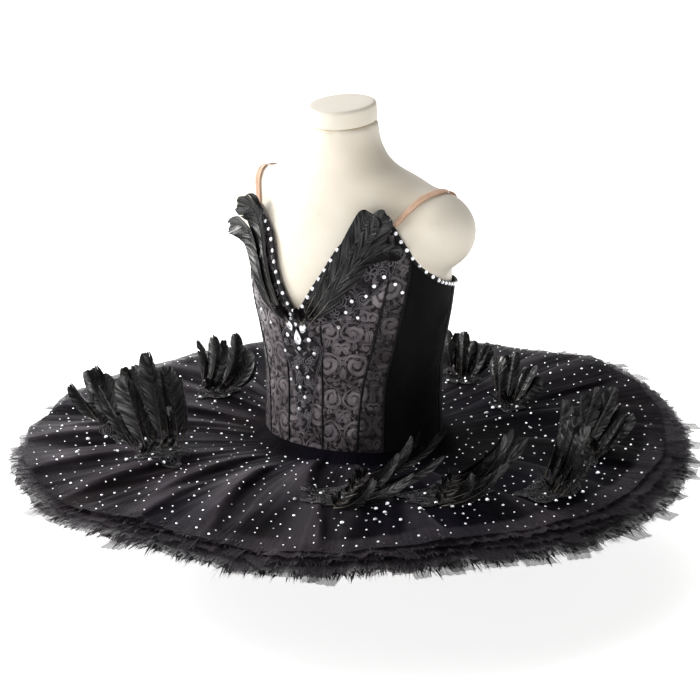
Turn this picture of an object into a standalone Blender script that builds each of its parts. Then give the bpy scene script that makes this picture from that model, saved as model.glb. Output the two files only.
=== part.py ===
"""Ballet tutu on a limbless dress form, modelled in metres, +Z up, facing -Y.

The form stands on its flat base at z = 0.  Angles round the body are measured
from the centre front, positive towards the wearer's left (+X).
"""
import math

import bmesh
import bpy
from mathutils import Vector

# ---------------------------------------------------------------- dimensions
HEM_Z = 0.135            # lower edge of the bodice
CLOTH_GAP = 0.0017       # between the form and the cloth worn on it
FORM_SLACK = 0.0009      # how much slimmer the form is than the garment's inside
CLOTH = 0.0015           # bodice cloth: outer fabric and coutil together
SEAM = 0.0004            # gap between neighbouring panels
TRIM_OUT = 0.0040        # edging and lace, measured from the form
EDGING_OUT = 0.0058      # the edging lies over the lace
TRIM = 0.0012
NET = 0.0012             # one net layer
PLATE_R = 0.366          # top plate, axis to rim
PLATE_REACH = (          # where it hangs farther out: angle, half width in degrees, reach
    (-62.0, 52.0, 0.0150), (14.0, 46.0, 0.0080),
)
SKIRT_R = 0.400          # widest layer, axis to rim
STRAP_W = 0.009
STRAP_T = 0.0012
NECK_Z = 0.5045          # joint between the neck and its cap
NECK_TILT = 8.0          # degrees that the cap tips forwards
CAP_H = 0.0215
KNICKER_Z = 0.022
BASQUE_Z = 0.070

# Sections of the form: height, half width, depth to front, depth to back, lean
BODY = (
    # z      half_w  front   back    lean
    (0.000, 0.0700, 0.0600, 0.0600, 0.000),
    (0.022, 0.0820, 0.0690, 0.0710, 0.000),
    (0.050, 0.0945, 0.0780, 0.0840, 0.000),
    (0.090, 0.1040, 0.0860, 0.0945, 0.000),
    (0.135, 0.1065, 0.0885, 0.0925, 0.000),
    (0.206, 0.1055, 0.0880, 0.0865, 0.000),
    (0.240, 0.1085, 0.0905, 0.0875, 0.000),
    (0.270, 0.1140, 0.0960, 0.0900, 0.000),
    (0.300, 0.1195, 0.1015, 0.0925, 0.000),
    (0.325, 0.1225, 0.1030, 0.0935, 0.000),
    (0.350, 0.1235, 0.0990, 0.0930, 0.000),
    (0.375, 0.1220, 0.0915, 0.0905, -0.001),
    (0.395, 0.1190, 0.0835, 0.0865, -0.003),
    (0.412, 0.1165, 0.0745, 0.0785, -0.005),
    (0.426, 0.1140, 0.0650, 0.0690, -0.007),
    (0.437, 0.1080, 0.0570, 0.0600, -0.009),
    (0.446, 0.0930, 0.0490, 0.0510, -0.011),
    (0.458, 0.0660, 0.0405, 0.0410, -0.014),
    (0.470, 0.0525, 0.0385, 0.0385, -0.016),
    (0.485, 0.0440, 0.0380, 0.0380, -0.018),
    (0.5045, 0.0400, 0.0385, 0.0385, -0.020),
)
# Rounded arm stumps: centre and half sizes
STUMP = {"x": 0.118, "y": -0.003, "z": 0.3930, "rx": 0.047, "ry": 0.040, "rz": 0.0450}

# Seams of the bodice: height, then the angle of each seam from the centre front
SEAMS = (
    # z     princess side_front side  side_back
    (0.130, 13.0, 34.5, 52.0, 104.0),
    (0.206, 13.0, 38.0, 53.0, 104.0),
    (0.270, 14.0, 45.0, 58.0, 104.0),
    (0.335, 17.0, 51.0, 63.0, 104.0),
    (0.410, 22.0, 57.0, 66.0, 104.0),
)
# Top edge of the bodice: angle from the centre front, height
TOP_EDGE = (
    (0.0, 0.298), (5.0, 0.314), (13.3, 0.343), (23.5, 0.381), (34.0, 0.395),
    (45.0, 0.402), (52.0, 0.404), (59.0, 0.386), (67.0, 0.366), (78.0, 0.348),
    (90.0, 0.336), (104.0, 0.329), (120.0, 0.325), (150.0, 0.322), (180.0, 0.318),
)
# Lower edge of the bodice: angle, height
LOW_EDGE = ((0.0, 0.1350), (13.0, 0.1365), (35.0, 0.1385), (60.0, 0.1395), (104.0, 0.1390), (180.0, 0.1380))

# Net layers, top plate first: height at the basque, height at the rim, radius
LAYERS = (
    # name             root_z  rim_z   radius    lobes  lobe_depth
    ("skirt_top_plate", 0.1290, 0.1360, PLATE_R, 7, 0.0008),
    ("skirt_layer_1",   0.1205, 0.1300, 0.381, 11, 0.0008),
    ("skirt_layer_2",   0.1120, 0.1242, 0.389, 9, 0.0008),
    ("skirt_layer_3",   0.1035, 0.1184, 0.395, 12, 0.0008),
    ("skirt_layer_4",   0.0950, 0.1126, SKIRT_R, 10, 0.0008),
    ("skirt_layer_5",   0.0865, 0.1066, 0.396, 8, 0.0008),
)
# Across the front the upper layers sink on to the ones below: angle, half width, depth at the top plate's rim
FRONT_SINK = (16.0, 58.0, 0.0085)
# Large folds that all the layers share: angle, width in degrees, height at rim
FOLDS = (
    (-158.0, 16.0, 0.0060), (-128.0, 26.0, 0.0140), (-98.0, 9.0, -0.0020),
    (-80.0, 9.0, 0.0040), (-62.0, 9.0, -0.0045), (-44.0, 10.0, 0.0050),
    (-20.0, 9.0, -0.0045), (2.0, 12.0, 0.0030), (28.0, 13.0, -0.0050),
    (55.0, 15.0, 0.0040), (82.0, 12.0, -0.0030), (118.0, 18.0, 0.0075),
    (158.0, 32.0, 0.0300),
)

# Feather sprays on the skirt: angle, radius, heading of the tips, reclining, size
SPRAYS = (
    # angle   r     heading  recline size
    (-150.0, 0.200, -170.0, 10.0, 0.55),
    (-93.0, 0.224, -140.0, 8.0, 0.62),
    (-50.0, 0.268, -120.0, 12.0, 0.80),
    (-31.0, 0.235, -100.0, 10.0, 0.92),
    (36.0, 0.235, 104.0, 34.0, 0.95),
    (60.0, 0.258, 118.0, 28.0, 0.95),
    (83.0, 0.300, 140.0, 16.0, 0.80),
    (106.0, 0.285, 160.0, 22.0, 0.62),
    (150.0, 0.200, 170.0, 10.0, 0.50),
    (-178.0, 0.228, 180.0, 6.0, 0.48),
)
# Feathers of one spray, in its fan's plane: angle in the fan, lean outwards, length, width
BLADES = (
    # fan    lean  length  width
    (-42.0, 34.0, 0.096, 0.023),
    (-17.0, 24.0, 0.116, 0.025),
    (8.0, 21.0, 0.124, 0.026),
    (33.0, 28.0, 0.106, 0.023),
)
# Neck feathers: tip position and bow for each, on the wearer's right and left
NECK_RIGHT = (
    # tip_x   tip_y   tip_z   bow_x   bow_y   bow_z  width
    (-0.030, -0.120, 0.412, -0.004, -0.128, 0.352, 0.022),
    (-0.062, -0.128, 0.405, -0.026, -0.142, 0.356, 0.026),
    (-0.082, -0.118, 0.378, -0.048, -0.138, 0.340, 0.022),
)
NECK_LEFT = (
    (0.066, -0.104, 0.410, 0.026, -0.130, 0.352, 0.026),
    (0.092, -0.092, 0.404, 0.054, -0.124, 0.350, 0.024),
    (0.100, -0.096, 0.370, 0.064, -0.122, 0.330, 0.020),
)

COLOURS = {
    "form_ivory": (0.83, 0.76, 0.64, 0.42, 0.0),
    "brocade": (0.060, 0.050, 0.058, 0.42, 0.0),
    "velvet": (0.006, 0.006, 0.007, 0.85, 0.0),
    "net": (0.030, 0.027, 0.032, 0.75, 0.0),
    "lace": (0.035, 0.028, 0.036, 0.50, 0.0),
    "strap": (0.78, 0.53, 0.40, 0.45, 0.0),
    "feather": (0.012, 0.011, 0.013, 0.55, 0.0),
    "jewel": (0.55, 0.56, 0.58, 0.15, 0.6),
}

# ---------------------------------------------------------------- the scene
for old in list(bpy.data.objects):
    bpy.data.objects.remove(old, do_unlink=True)
PARTS = bpy.data.collections.new("ballet_tutu")
CUTTERS = bpy.data.collections.new("construction")
bpy.context.scene.collection.children.link(PARTS)
bpy.context.scene.collection.children.link(CUTTERS)
MATERIALS = {}


def material(key, node):
    r, g, b, rough, metal = COLOURS[key]
    mat = bpy.data.materials.new(f"{key}_{node}")
    mat.use_nodes = True
    shader = mat.node_tree.nodes["Principled BSDF"]
    shader.inputs["Base Color"].default_value = (r, g, b, 1.0)
    shader.inputs["Roughness"].default_value = rough
    shader.inputs["Metallic"].default_value = metal
    return mat


def new_object(name, verts, faces, key, collection=PARTS):
    mesh = bpy.data.meshes.new(name)
    mesh.from_pydata([tuple(v) for v in verts], [], faces)
    mesh.validate()
    mesh.update()
    obj = bpy.data.objects.new(name, mesh)
    collection.objects.link(obj)
    obj.data.materials.append(material(key, name))
    obj.data.shade_smooth()
    return obj


def solidify(obj, thickness):
    mod = obj.modifiers.new("Solidify", "SOLIDIFY")
    mod.thickness = thickness
    mod.offset = 1.0
    mod.use_even_offset = True
    mod.use_quality_normals = True
    return obj


# ---------------------------------------------------------------- the body
def curve_at(rows, x, column):
    """Smooth value of a table's column at x, in the table's first column."""
    n = len(rows)
    if x <= rows[0][0]:
        return rows[0][column]
    if x >= rows[-1][0]:
        return rows[-1][column]
    i = max(j for j in range(n - 1) if rows[j][0] <= x)
    x0, x1 = rows[i][0], rows[i + 1][0]
    y0, y1 = rows[i][column], rows[i + 1][column]

    def slope(j):
        if j <= 0 or j >= n - 1:
            k = 0 if j <= 0 else n - 2
            return (rows[k + 1][column] - rows[k][column]) / (rows[k + 1][0] - rows[k][0])
        left = (rows[j][column] - rows[j - 1][column]) / (rows[j][0] - rows[j - 1][0])
        right = (rows[j + 1][column] - rows[j][column]) / (rows[j + 1][0] - rows[j][0])
        if left * right <= 0:
            return 0.0
        return 2.0 * left * right / (left + right)

    h = x1 - x0
    s = (x - x0) / h
    m0, m1 = slope(i) * h, slope(i + 1) * h
    return (
        (2 * s**3 - 3 * s**2 + 1) * y0 + (s**3 - 2 * s**2 + s) * m0
        + (-2 * s**3 + 3 * s**2) * y1 + (s**3 - s**2) * m1
    )


def on_form(deg, z, out=0.0):
    """Point of the form's side at an angle and height, moved out by out."""

    def raw(d, h):
        half_w, front, back, lean = (curve_at(BODY, h, c) for c in (1, 2, 3, 4))
        a = math.radians(d)
        depth = front if math.cos(a) >= 0 else back
        return Vector((half_w * math.sin(a), lean - depth * math.cos(a), h))

    p = raw(deg, z)
    if not out:
        return p
    across = raw(deg + 0.5, z) - raw(deg - 0.5, z)
    up = raw(deg, z + 0.001) - raw(deg, z - 0.001)
    return p + across.cross(up).normalized() * out


def angle_of(p):
    """The body angle, as on_form takes it, of a point beside the form."""
    half_w, front, back, lean = (curve_at(BODY, p.z, c) for c in (1, 2, 3, 4))
    y = p.y - lean
    return math.degrees(math.atan2(p.x / half_w, -y / (front if y <= 0 else back)))


def edge(rows, deg):
    return curve_at(rows, abs(deg), 1)


def seam(column, z):
    return curve_at(SEAMS, z, column)


def rings_to_faces(rows, cols, closed):
    """Quads between rows of points; closed joins the last column to the first."""
    faces = []
    for r in range(rows - 1):
        for c in range(cols if closed else cols - 1):
            d = (c + 1) % cols
            faces.append((r * cols + c, r * cols + d, (r + 1) * cols + d, (r + 1) * cols + c))
    return faces


# ---------------------------------------------------------------- the form
def build_form():
    around = 28
    heights = [row[0] for row in BODY]
    verts = []
    for z in heights:
        slack = FORM_SLACK if 0.02 < z < 0.44 else 0.0
        verts += [on_form(360.0 * i / around, z, -slack) for i in range(around)]
    faces = rings_to_faces(len(heights), around, True)
    faces.append(tuple(reversed(range(around))))
    top = (len(heights) - 1) * around
    lean = BODY[-1][4]
    for v in verts[top:]:
        v.z += (v.y - lean) * math.tan(math.radians(NECK_TILT))
    faces.append(tuple(range(top, top + around)))
    torso = new_object("form_torso", verts, faces, "form_ivory")
    for side, name in ((1, "stump_left"), (-1, "stump_right")):
        mesh = bpy.data.meshes.new(name)
        bm = bmesh.new()
        bmesh.ops.create_uvsphere(bm, u_segments=16, v_segments=10, radius=1.0)
        for v in bm.verts:
            x, y, z = v.co
            v.co = (
                side * STUMP["x"] + z * STUMP["rx"],
                STUMP["y"] + y * STUMP["ry"],
                STUMP["z"] - x * STUMP["rz"],
            )
        bm.to_mesh(mesh)
        bm.free()
        stump = bpy.data.objects.new(name, mesh)
        CUTTERS.objects.link(stump)
        stump.hide_render = True
        stump.display_type = "WIRE"
        mod = torso.modifiers.new(name, "BOOLEAN")
        mod.operation = "UNION"
        mod.object = stump
    torso.data.set_sharp_from_angle(angle=math.radians(40))

    tilt = math.radians(NECK_TILT)
    lift = CAP_H / 2 + 0.0004
    bpy.ops.mesh.primitive_cylinder_add(
        vertices=24,
        radius=0.0394,
        depth=CAP_H,
        location=(0, lean - lift * math.sin(tilt), NECK_Z + lift * math.cos(tilt)),
        rotation=(tilt, 0, 0),
    )
    cap = bpy.context.object
    cap.name = cap.data.name = "form_neck_cap"
    for c in list(cap.users_collection):
        c.objects.unlink(cap)
    PARTS.objects.link(cap)
    cap.data.materials.append(material("form_ivory", "form_neck_cap"))
    bevel = cap.modifiers.new("Bevel", "BEVEL")
    bevel.width = 0.003
    bevel.segments = 1
    bevel.limit_method = "ANGLE"
    cap.data.shade_smooth()


# ---------------------------------------------------------------- bodice
def panel(name, left, right, key, across, up=9):
    """Bodice panel between two seams; left and right give an angle at a height."""
    verts = []
    half_gap = math.degrees(SEAM / 2 / 0.105)
    for j in range(up):
        v = j / (up - 1)
        for i in range(across):
            u = i / (across - 1)
            z = 0.2
            for _ in range(24):
                lo, hi = left(z) + half_gap, right(z) - half_gap
                deg = lo + (hi - lo) * u
                want = edge(LOW_EDGE, deg) + (edge(TOP_EDGE, deg) - edge(LOW_EDGE, deg)) * v
                z += (want - z) * 0.6
            verts.append(on_form(deg, z, CLOTH_GAP))
    return solidify(new_object(name, verts, rings_to_faces(up, across, False), key), CLOTH)


def build_bodice():
    panel("bodice_front_centre", lambda z: -seam(1, z), lambda z: seam(1, z), "brocade", 7, 12)
    for side, word in ((1, "left"), (-1, "right")):
        spans = (
            ("bodice_princess_", 1, 2, "brocade", 5, 12),
            ("bodice_side_front_", 2, 3, "brocade", 3, 11),
            ("bodice_side_", 3, 4, "velvet", 6, 10),
            ("bodice_back_", 4, 0, "velvet", 8, 9),
        )
        for stem, a, b, key, across, up in spans:
            def first(z, a=a):
                return seam(a, z)

            def last(z, b=b):
                return seam(b, z) if b else 180.0

            if side == 1:
                panel(stem + word, first, last, key, across, up)
            else:
                panel(stem + word, lambda z, f=last: -f(z), lambda z, f=first: -f(z), key, across, up)


def edge_band(name, start, stop, steps, width, key="lace"):
    """Flat edging that follows the bodice's top edge between two angles."""
    verts = []
    for i in range(steps):
        deg = start + (stop - start) * i / (steps - 1)
        span = 1.0
        slope = (edge(TOP_EDGE, deg + span) - edge(TOP_EDGE, deg - span)) / (
            on_form(deg + span, 0.35) - on_form(deg - span, 0.35)
        ).length
        slope = max(-1.6, min(1.6, slope))
        if abs(deg) < 1.5:
            slope = 0.9 * (1 if stop > start else -1) * (1 if abs(start) < abs(stop) else 1)
            slope = abs(slope) * (1 if (start + stop) > 0 else -1)
        tilt = math.atan(slope)
        for depth in (width, 0.0002):
            # step in from the edge at right angles to it, on the body's surface
            down = depth * math.cos(tilt)
            side = depth * math.sin(tilt)
            z = edge(TOP_EDGE, deg) - down
            radius = 0.108
            verts.append(on_form(deg + math.degrees(side / radius), z, EDGING_OUT))
    faces = rings_to_faces(steps, 2, False)
    if start > stop:
        faces = [tuple(reversed(f)) for f in faces]
    obj = new_object(name, verts, [tuple(reversed(f)) for f in faces], key)
    return solidify(obj, TRIM)


def inside_form(p):
    if 0.0 < p.z < NECK_Z:
        half_w, front, back, lean = (curve_at(BODY, p.z, c) for c in (1, 2, 3, 4))
        y = p.y - lean
        depth = front if y <= 0 else back
        if (p.x / half_w) ** 2 + (y / depth) ** 2 < 1.0:
            return True
    x = (abs(p.x) - STUMP["x"]) / STUMP["rx"]
    y = (p.y - STUMP["y"]) / STUMP["ry"]
    z = (p.z - STUMP["z"]) / STUMP["rz"]
    return x * x + y * y + z * z < 1.0


STRAP_PATH = (
    # turn 0 is level to the front, 90 straight up and 180 level to the back
    # turn   x       spread (how much of the width lies along X)
    (6.0, 0.0950, 0.70), (25.0, 0.1030, 0.78), (50.0, 0.1150, 0.90), (80.0, 0.1250, 1.00),
    (100.0, 0.1260, 1.00), (130.0, 0.1200, 0.92), (160.0, 0.1090, 0.82), (190.0, 0.0985, 0.76),
    (215.0, 0.0895, 0.74), (236.0, 0.0830, 0.74),
)


def form_below(x, turn, out):
    """Point above the form's skin along a ray that leaves the shoulder's core."""
    a = math.radians(turn)
    ray = Vector((0.0, -math.cos(a), math.sin(a)))
    origin = Vector((x, 0.0, 0.390))
    step = 0.16
    while step > 0 and not inside_form(origin + ray * step):
        step -= 0.001
    near, far = step, step + 0.001
    for _ in range(20):
        mid = (near + far) / 2
        if inside_form(origin + ray * mid):
            near = mid
        else:
            far = mid
    return near + out, origin, ray


def build_straps():
    steps = 20
    first, last = STRAP_PATH[0][0], STRAP_PATH[-1][0]
    for side, word in ((1, "left"), (-1, "right")):
        rails = ([], [])
        for i in range(steps):
            turn = first + (last - first) * i / (steps - 1)
            for rail, way in zip(rails, (-1, 1)):
                x = curve_at(STRAP_PATH, turn, 1) + way * STRAP_W / 2 * curve_at(STRAP_PATH, turn, 2)
                rail.append(form_below(x, turn, 0.0022))
        verts = []
        for i in range(steps):
            for rail in rails:
                reach, origin, ray = rail[i]
                if 0 < i < steps - 1:
                    reach = max(reach, (rail[i - 1][0] + rail[i + 1][0]) / 2)
                p = origin + ray * reach
                verts.append(Vector((p.x * side, p.y, p.z)))
        kept = []
        for i in range(steps):
            pair = verts[2 * i : 2 * i + 2]
            if all(p.z > edge(TOP_EDGE, angle_of(p)) + 0.0016 for p in pair):
                kept += pair
        faces = rings_to_faces(len(kept) // 2, 2, False)
        if side == -1:
            faces = [tuple(reversed(f)) for f in faces]
        solidify(new_object(f"strap_{word}", kept, faces, "strap"), STRAP_T)


# ---------------------------------------------------------------- lace, jewel
BUST_LACE = (
    # along   angle  height  half_width
    (0.00, 7.0, 0.292, 0.0060),
    (0.20, 13.0, 0.303, 0.0150),
    (0.45, 24.0, 0.325, 0.0230),
    (0.70, 37.0, 0.342, 0.0200),
    (0.88, 47.0, 0.358, 0.0140),
    (1.00, 52.0, 0.372, 0.0070),
)
CENTRE_LACE = (
    # height  half_angle
    (0.155, 2.5), (0.175, 5.0), (0.200, 7.5), (0.225, 9.5), (0.245, 13.0),
    (0.262, 14.5), (0.278, 10.0), (0.288, 5.0),
)


def build_lace():
    for side, word in ((1, "left"), (-1, "right")):
        rows, cols = 9, 5
        verts = []
        for i in range(rows):
            s = i / (rows - 1)
            deg = curve_at(BUST_LACE, s, 1)
            z = curve_at(BUST_LACE, s, 2)
            half = curve_at(BUST_LACE, s, 3)
            ddeg = curve_at(BUST_LACE, min(1, s + 0.03), 1) - curve_at(BUST_LACE, max(0, s - 0.03), 1)
            dz = curve_at(BUST_LACE, min(1, s + 0.03), 2) - curve_at(BUST_LACE, max(0, s - 0.03), 2)
            across = math.radians(ddeg) * 0.112
            length = math.hypot(across, dz)
            nx, nz = -dz / length, across / length
            for j in range(cols):
                w = (j / (cols - 1) - 0.5) * 2 * half
                top_room = edge(TOP_EDGE, deg + math.degrees(nx * w / 0.112)) - 0.0105
                p_deg = deg + math.degrees(nx * w / 0.112)
                p_z = min(z + nz * w, top_room)
                verts.append(on_form(side * p_deg, p_z, TRIM_OUT + 0.0004))
        faces = rings_to_faces(rows, cols, False)
        if side == 1:
            faces = [tuple(reversed(f)) for f in faces]
        solidify(new_object(f"lace_bust_{word}", verts, faces, "lace"), 0.0010)

    rows, cols = 9, 5
    verts = []
    z0, z1 = CENTRE_LACE[0][0], CENTRE_LACE[-1][0]
    for i in range(rows):
        z = z0 + (z1 - z0) * i / (rows - 1)
        half = curve_at(CENTRE_LACE, z, 1)
        for j in range(cols):
            deg = (j / (cols - 1) - 0.5) * 2 * half
            verts.append(on_form(deg, z, TRIM_OUT + 0.0004))
    solidify(new_object("lace_centre", verts, rings_to_faces(rows, cols, False), "lace"), 0.0010)

    # the jewel's plate: a flat lens hung at the foot of the V
    mesh = bpy.data.meshes.new("jewel_centre")
    bm = bmesh.new()
    bmesh.ops.create_uvsphere(bm, u_segments=12, v_segments=6, radius=1.0)
    middle = on_form(0.0, 0.270, TRIM_OUT + 0.0004 + 0.0010 + 0.0036)
    for v in bm.verts:
        x, y, z = v.co
        v.co = (middle.x + x * 0.011, middle.y + z * 0.0028 - y * 0.17 * 0.019, middle.z + y * 0.019)
    bmesh.ops.recalc_face_normals(bm, faces=bm.faces)
    bm.to_mesh(mesh)
    bm.free()
    plate = bpy.data.objects.new("jewel_centre", mesh)
    PARTS.objects.link(plate)
    plate.data.materials.append(material("jewel", "jewel_centre"))
    plate.data.shade_smooth()


# ---------------------------------------------------------------- skirt
def hip_radius(deg, out):
    p = on_form(deg, 0.11, out)
    return math.hypot(p.x, p.y)


def fold_height(deg):
    total = 0.0
    for middle, width, height in FOLDS:
        d = (deg - middle + 180.0) % 360.0 - 180.0
        total += height * math.exp(-((d / width) ** 2))
    return total


def rim_radius(layer, deg):
    name, root_z, rim_z, radius, lobes, depth = layer
    rim = radius + 0.003 * math.cos(math.radians(3 * deg + 40 + 11 * lobes)) - 0.0015
    if name == "skirt_top_plate":
        for middle, width, reach in PLATE_REACH:
            d = (deg - middle + 180.0) % 360.0 - 180.0
            rim += reach * math.exp(-((d / width) ** 4))
    return rim


def front_sink(layer, deg):
    middle, width, drop = FRONT_SINK
    d = (deg - middle + 180.0) % 360.0 - 180.0
    return drop * (1 - LAYERS.index(layer) / 5) * math.exp(-((d / width) ** 4))


def skirt_point(layer, share, deg, up=0.0):
    """Point of a layer's lower face: share is 0 at the basque and 1 at the rim."""
    name, root_z, rim_z, radius, lobes, depth = layer
    r0 = hip_radius(deg, CLOTH_GAP + CLOTH + 0.0012)
    r = r0 + (rim_radius(layer, deg) - r0) * share
    a = math.radians(deg)
    z = root_z + (rim_z - root_z) * (1 - (1 - share) ** 1.6)
    z += 0.004 * math.sin(math.pi * share) * (1 - share)
    z += fold_height(deg) * share**1.5
    z += depth * math.cos(math.radians(lobes * deg)) * share
    z -= front_sink(layer, deg) * share**3
    return Vector((r * math.sin(a), -r * math.cos(a), z + up))


def build_skirt():
    around = 48
    shares = (0.0, 0.5, 1.0)
    for layer in LAYERS:
        verts = []
        for share in shares:
            verts += [skirt_point(layer, share, 360.0 * i / around) for i in range(around)]
        faces = [tuple(reversed(f)) for f in rings_to_faces(len(shares), around, True)]
        obj = new_object(layer[0], verts, faces, "net")
        solidify(obj, NET)

    around_hip = 28
    for name, heights, key in (
        ("basque", (BASQUE_Z, 0.090, 0.1335), "velvet"),
        ("knicker", (KNICKER_Z, 0.050, BASQUE_Z - SEAM), "velvet"),
    ):
        rows = len(heights)
        verts = []
        for z in heights:
            verts += [on_form(360.0 * i / around_hip, z, CLOTH_GAP) for i in range(around_hip)]
        solidify(new_object(name, verts, rings_to_faces(rows, around_hip, True), key), CLOTH)


def plate_height(x, y):
    """Upper face of the top plate over a point of the plan."""
    layer = LAYERS[0]
    deg = math.degrees(math.atan2(x, -y))
    r0 = hip_radius(deg, CLOTH_GAP + CLOTH + 0.0012)
    share = (math.hypot(x, y) - r0) / (rim_radius(layer, deg) - r0)
    return skirt_point(layer, max(0.0, min(1.0, share)), deg).z + NET


def skirt_lace(name, deg, r, size):
    """Lobed lace patch that lies on the top plate."""
    a = math.radians(deg)
    middle = Vector((r * math.sin(a), -r * math.cos(a), 0))
    radial = Vector((math.sin(a), -math.cos(a), 0))
    around = 15
    verts = []
    centre = Vector((middle.x, middle.y, plate_height(middle.x, middle.y) + 0.0016))
    verts.append(centre)
    tangent = Vector((math.cos(a), math.sin(a), 0))
    for ring in (0.55, 1.0):
        for i in range(around):
            th = 2 * math.pi * i / around
            reach = 0.040 * size * (1 + 0.16 * math.cos(5 * th)) * ring
            p = middle + tangent * (reach * 1.25 * math.cos(th)) + radial * (reach * 0.8 * math.sin(th))
            verts.append(Vector((p.x, p.y, plate_height(p.x, p.y) + 0.0016)))
    faces = []
    for i in range(around):
        j = (i + 1) % around
        faces.append((0, 1 + i, 1 + j))
        faces.append((1 + i, 1 + around + i, 1 + around + j, 1 + j))
    obj = new_object(name, verts, faces, "lace")
    bm = bmesh.new()
    bm.from_mesh(obj.data)
    bmesh.ops.recalc_face_normals(bm, faces=bm.faces)
    if sum(f.normal.z for f in bm.faces) < 0:
        bmesh.ops.reverse_faces(bm, faces=bm.faces)
    bm.to_mesh(obj.data)
    bm.free()
    solidify(obj, 0.0010)


# ---------------------------------------------------------------- feathers
WIDTHS = ((0.0, 0.14), (0.22, 0.32), (0.5, 0.80), (0.78, 1.0), (0.93, 0.72), (1.0, 0.25))


def blade(name, root, bow, tip, face, width):
    """One feather as a thin lens-shaped leaf along a bent quill."""
    steps = 5
    verts = []
    for i in range(steps):
        s = i / (steps - 1)
        p = root * (1 - s) ** 2 + bow * (2 * s * (1 - s)) + tip * s * s
        along = (root * (-2 * (1 - s)) + bow * (2 - 4 * s) + tip * (2 * s)).normalized()
        wide = along.cross(face).normalized()
        out = wide.cross(along).normalized()
        w = curve_at(WIDTHS, s, 1) * width / 2
        thick = 0.0011 - 0.0004 * s
        verts += [p - wide * w, p + out * thick, p + wide * w, p - out * thick]
    faces = rings_to_faces(steps, 4, True)
    faces.append((3, 2, 1, 0))
    last = (steps - 1) * 4
    faces.append((last, last + 1, last + 2, last + 3))
    obj = new_object(name, verts, faces, "feather", CUTTERS)
    bm = bmesh.new()
    bm.from_mesh(obj.data)
    bmesh.ops.recalc_face_normals(bm, faces=bm.faces)
    bm.to_mesh(obj.data)
    bm.free()
    obj.hide_render = True
    obj.display_type = "WIRE"
    return obj


def spray(name, centre, half, blades, turn=0.0):
    """A small domed root with every feather joined to it."""
    mesh = bpy.data.meshes.new(name)
    bm = bmesh.new()
    bmesh.ops.create_uvsphere(bm, u_segments=10, v_segments=6, radius=1.0)
    for v in bm.verts:
        x = v.co.x * math.cos(turn) - v.co.y * math.sin(turn)
        y = v.co.x * math.sin(turn) + v.co.y * math.cos(turn)
        v.co = Vector((x * half.x, y * half.y, v.co.z * half.z)) + centre
    bm.to_mesh(mesh)
    bm.free()
    obj = bpy.data.objects.new(name, mesh)
    PARTS.objects.link(obj)
    obj.data.materials.append(material("feather", name))
    obj.data.shade_smooth()
    for i, b in enumerate(blades):
        mod = obj.modifiers.new(f"feather_{i}", "BOOLEAN")
        mod.operation = "UNION"
        mod.object = b
    return obj


def build_feathers():
    for number, (deg, r, heading, recline, size) in enumerate(SPRAYS, 1):
        skirt_lace(f"lace_skirt_{number}", deg, r, size)
        a = math.radians(deg)
        x, y = r * math.sin(a), -r * math.cos(a)
        base = plate_height(x, y) + 0.0016 + 0.0010 + 0.0008
        half = Vector((0.0085, 0.0085, 0.0075))
        centre = Vector((x, y, base + half.z))
        out = Vector((math.sin(math.radians(heading)), -math.cos(math.radians(heading)), 0))
        tangent = Vector((-out.y, out.x, 0))
        blades = []
        for i, (fan, lean, length, width) in enumerate(BLADES):
            f, le, back = math.radians(fan), math.radians(lean), math.radians(recline)
            length *= size
            # the fan's plane tips back by recline, and each feather curls further at its tip
            up = Vector((0, 0, 1)) * math.cos(back) + out * math.sin(back)
            over = out * math.cos(back) - Vector((0, 0, 1)) * math.sin(back)
            rise = up * math.cos(f) + tangent * math.sin(f)
            root = centre + over * (0.0013 * (i - 1.5))
            bow = root + rise * (length * 0.60) + over * (length * 0.03)
            tip = root + rise * (length * math.cos(le)) + over * (length * math.sin(le))
            blades.append(blade(f"spray_{number}_{i}", root, bow, tip, over, width * size))
        spray(f"feathers_skirt_{number}", centre, half, blades, 0.31 + 0.17 * number)

    for word, rows, x in (("right", NECK_RIGHT, -0.0085), ("left", NECK_LEFT, 0.0085)):
        deg = math.degrees(math.asin(x / 0.115))
        centre = on_form(deg, 0.2995, 0.0125)
        half = Vector((0.0065, 0.0035, 0.0065))
        blades = []
        for i, (tx, ty, tz, bx, by, bz, width) in enumerate(rows):
            root = centre + Vector((x * 0.12, -0.0003, 0.001))
            face = Vector((0.25 * (1 if x > 0 else -1), -1.0, 0.15)).normalized()
            blades.append(blade(f"neck_{word}_{i}", root, Vector((bx, by, bz)), Vector((tx, ty, tz)), face, width))
        spray(f"feathers_neck_{word}", centre, half, blades)


build_form()
build_bodice()
edge_band("neckline_trim_left", 0.9, 49.0, 11, 0.0060)
edge_band("neckline_trim_right", -49.0, -0.9, 11, 0.0060)
edge_band("armhole_trim_left", 55.0, 128.0, 11, 0.0060)
edge_band("armhole_trim_right", -128.0, -55.0, 11, 0.0060)
build_straps()
build_lace()
build_skirt()
build_feathers()
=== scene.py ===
"""Looks of the ballet tutu on its dress form: cloth, lace, feathers, stones and finish.

Everything is in metres, +Z up.  The tutu faces -Y and the form stands on z = 0.
Angles round the body are measured from the centre front, positive towards the
wearer's left (+X).  The tables of the body, the seams and the net layers are
those of the fixed frame, so each piece lies on its own solid.
"""

import math

import bmesh
import bpy
import numpy as np
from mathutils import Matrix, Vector
from mathutils.bvhtree import BVHTree


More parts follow.
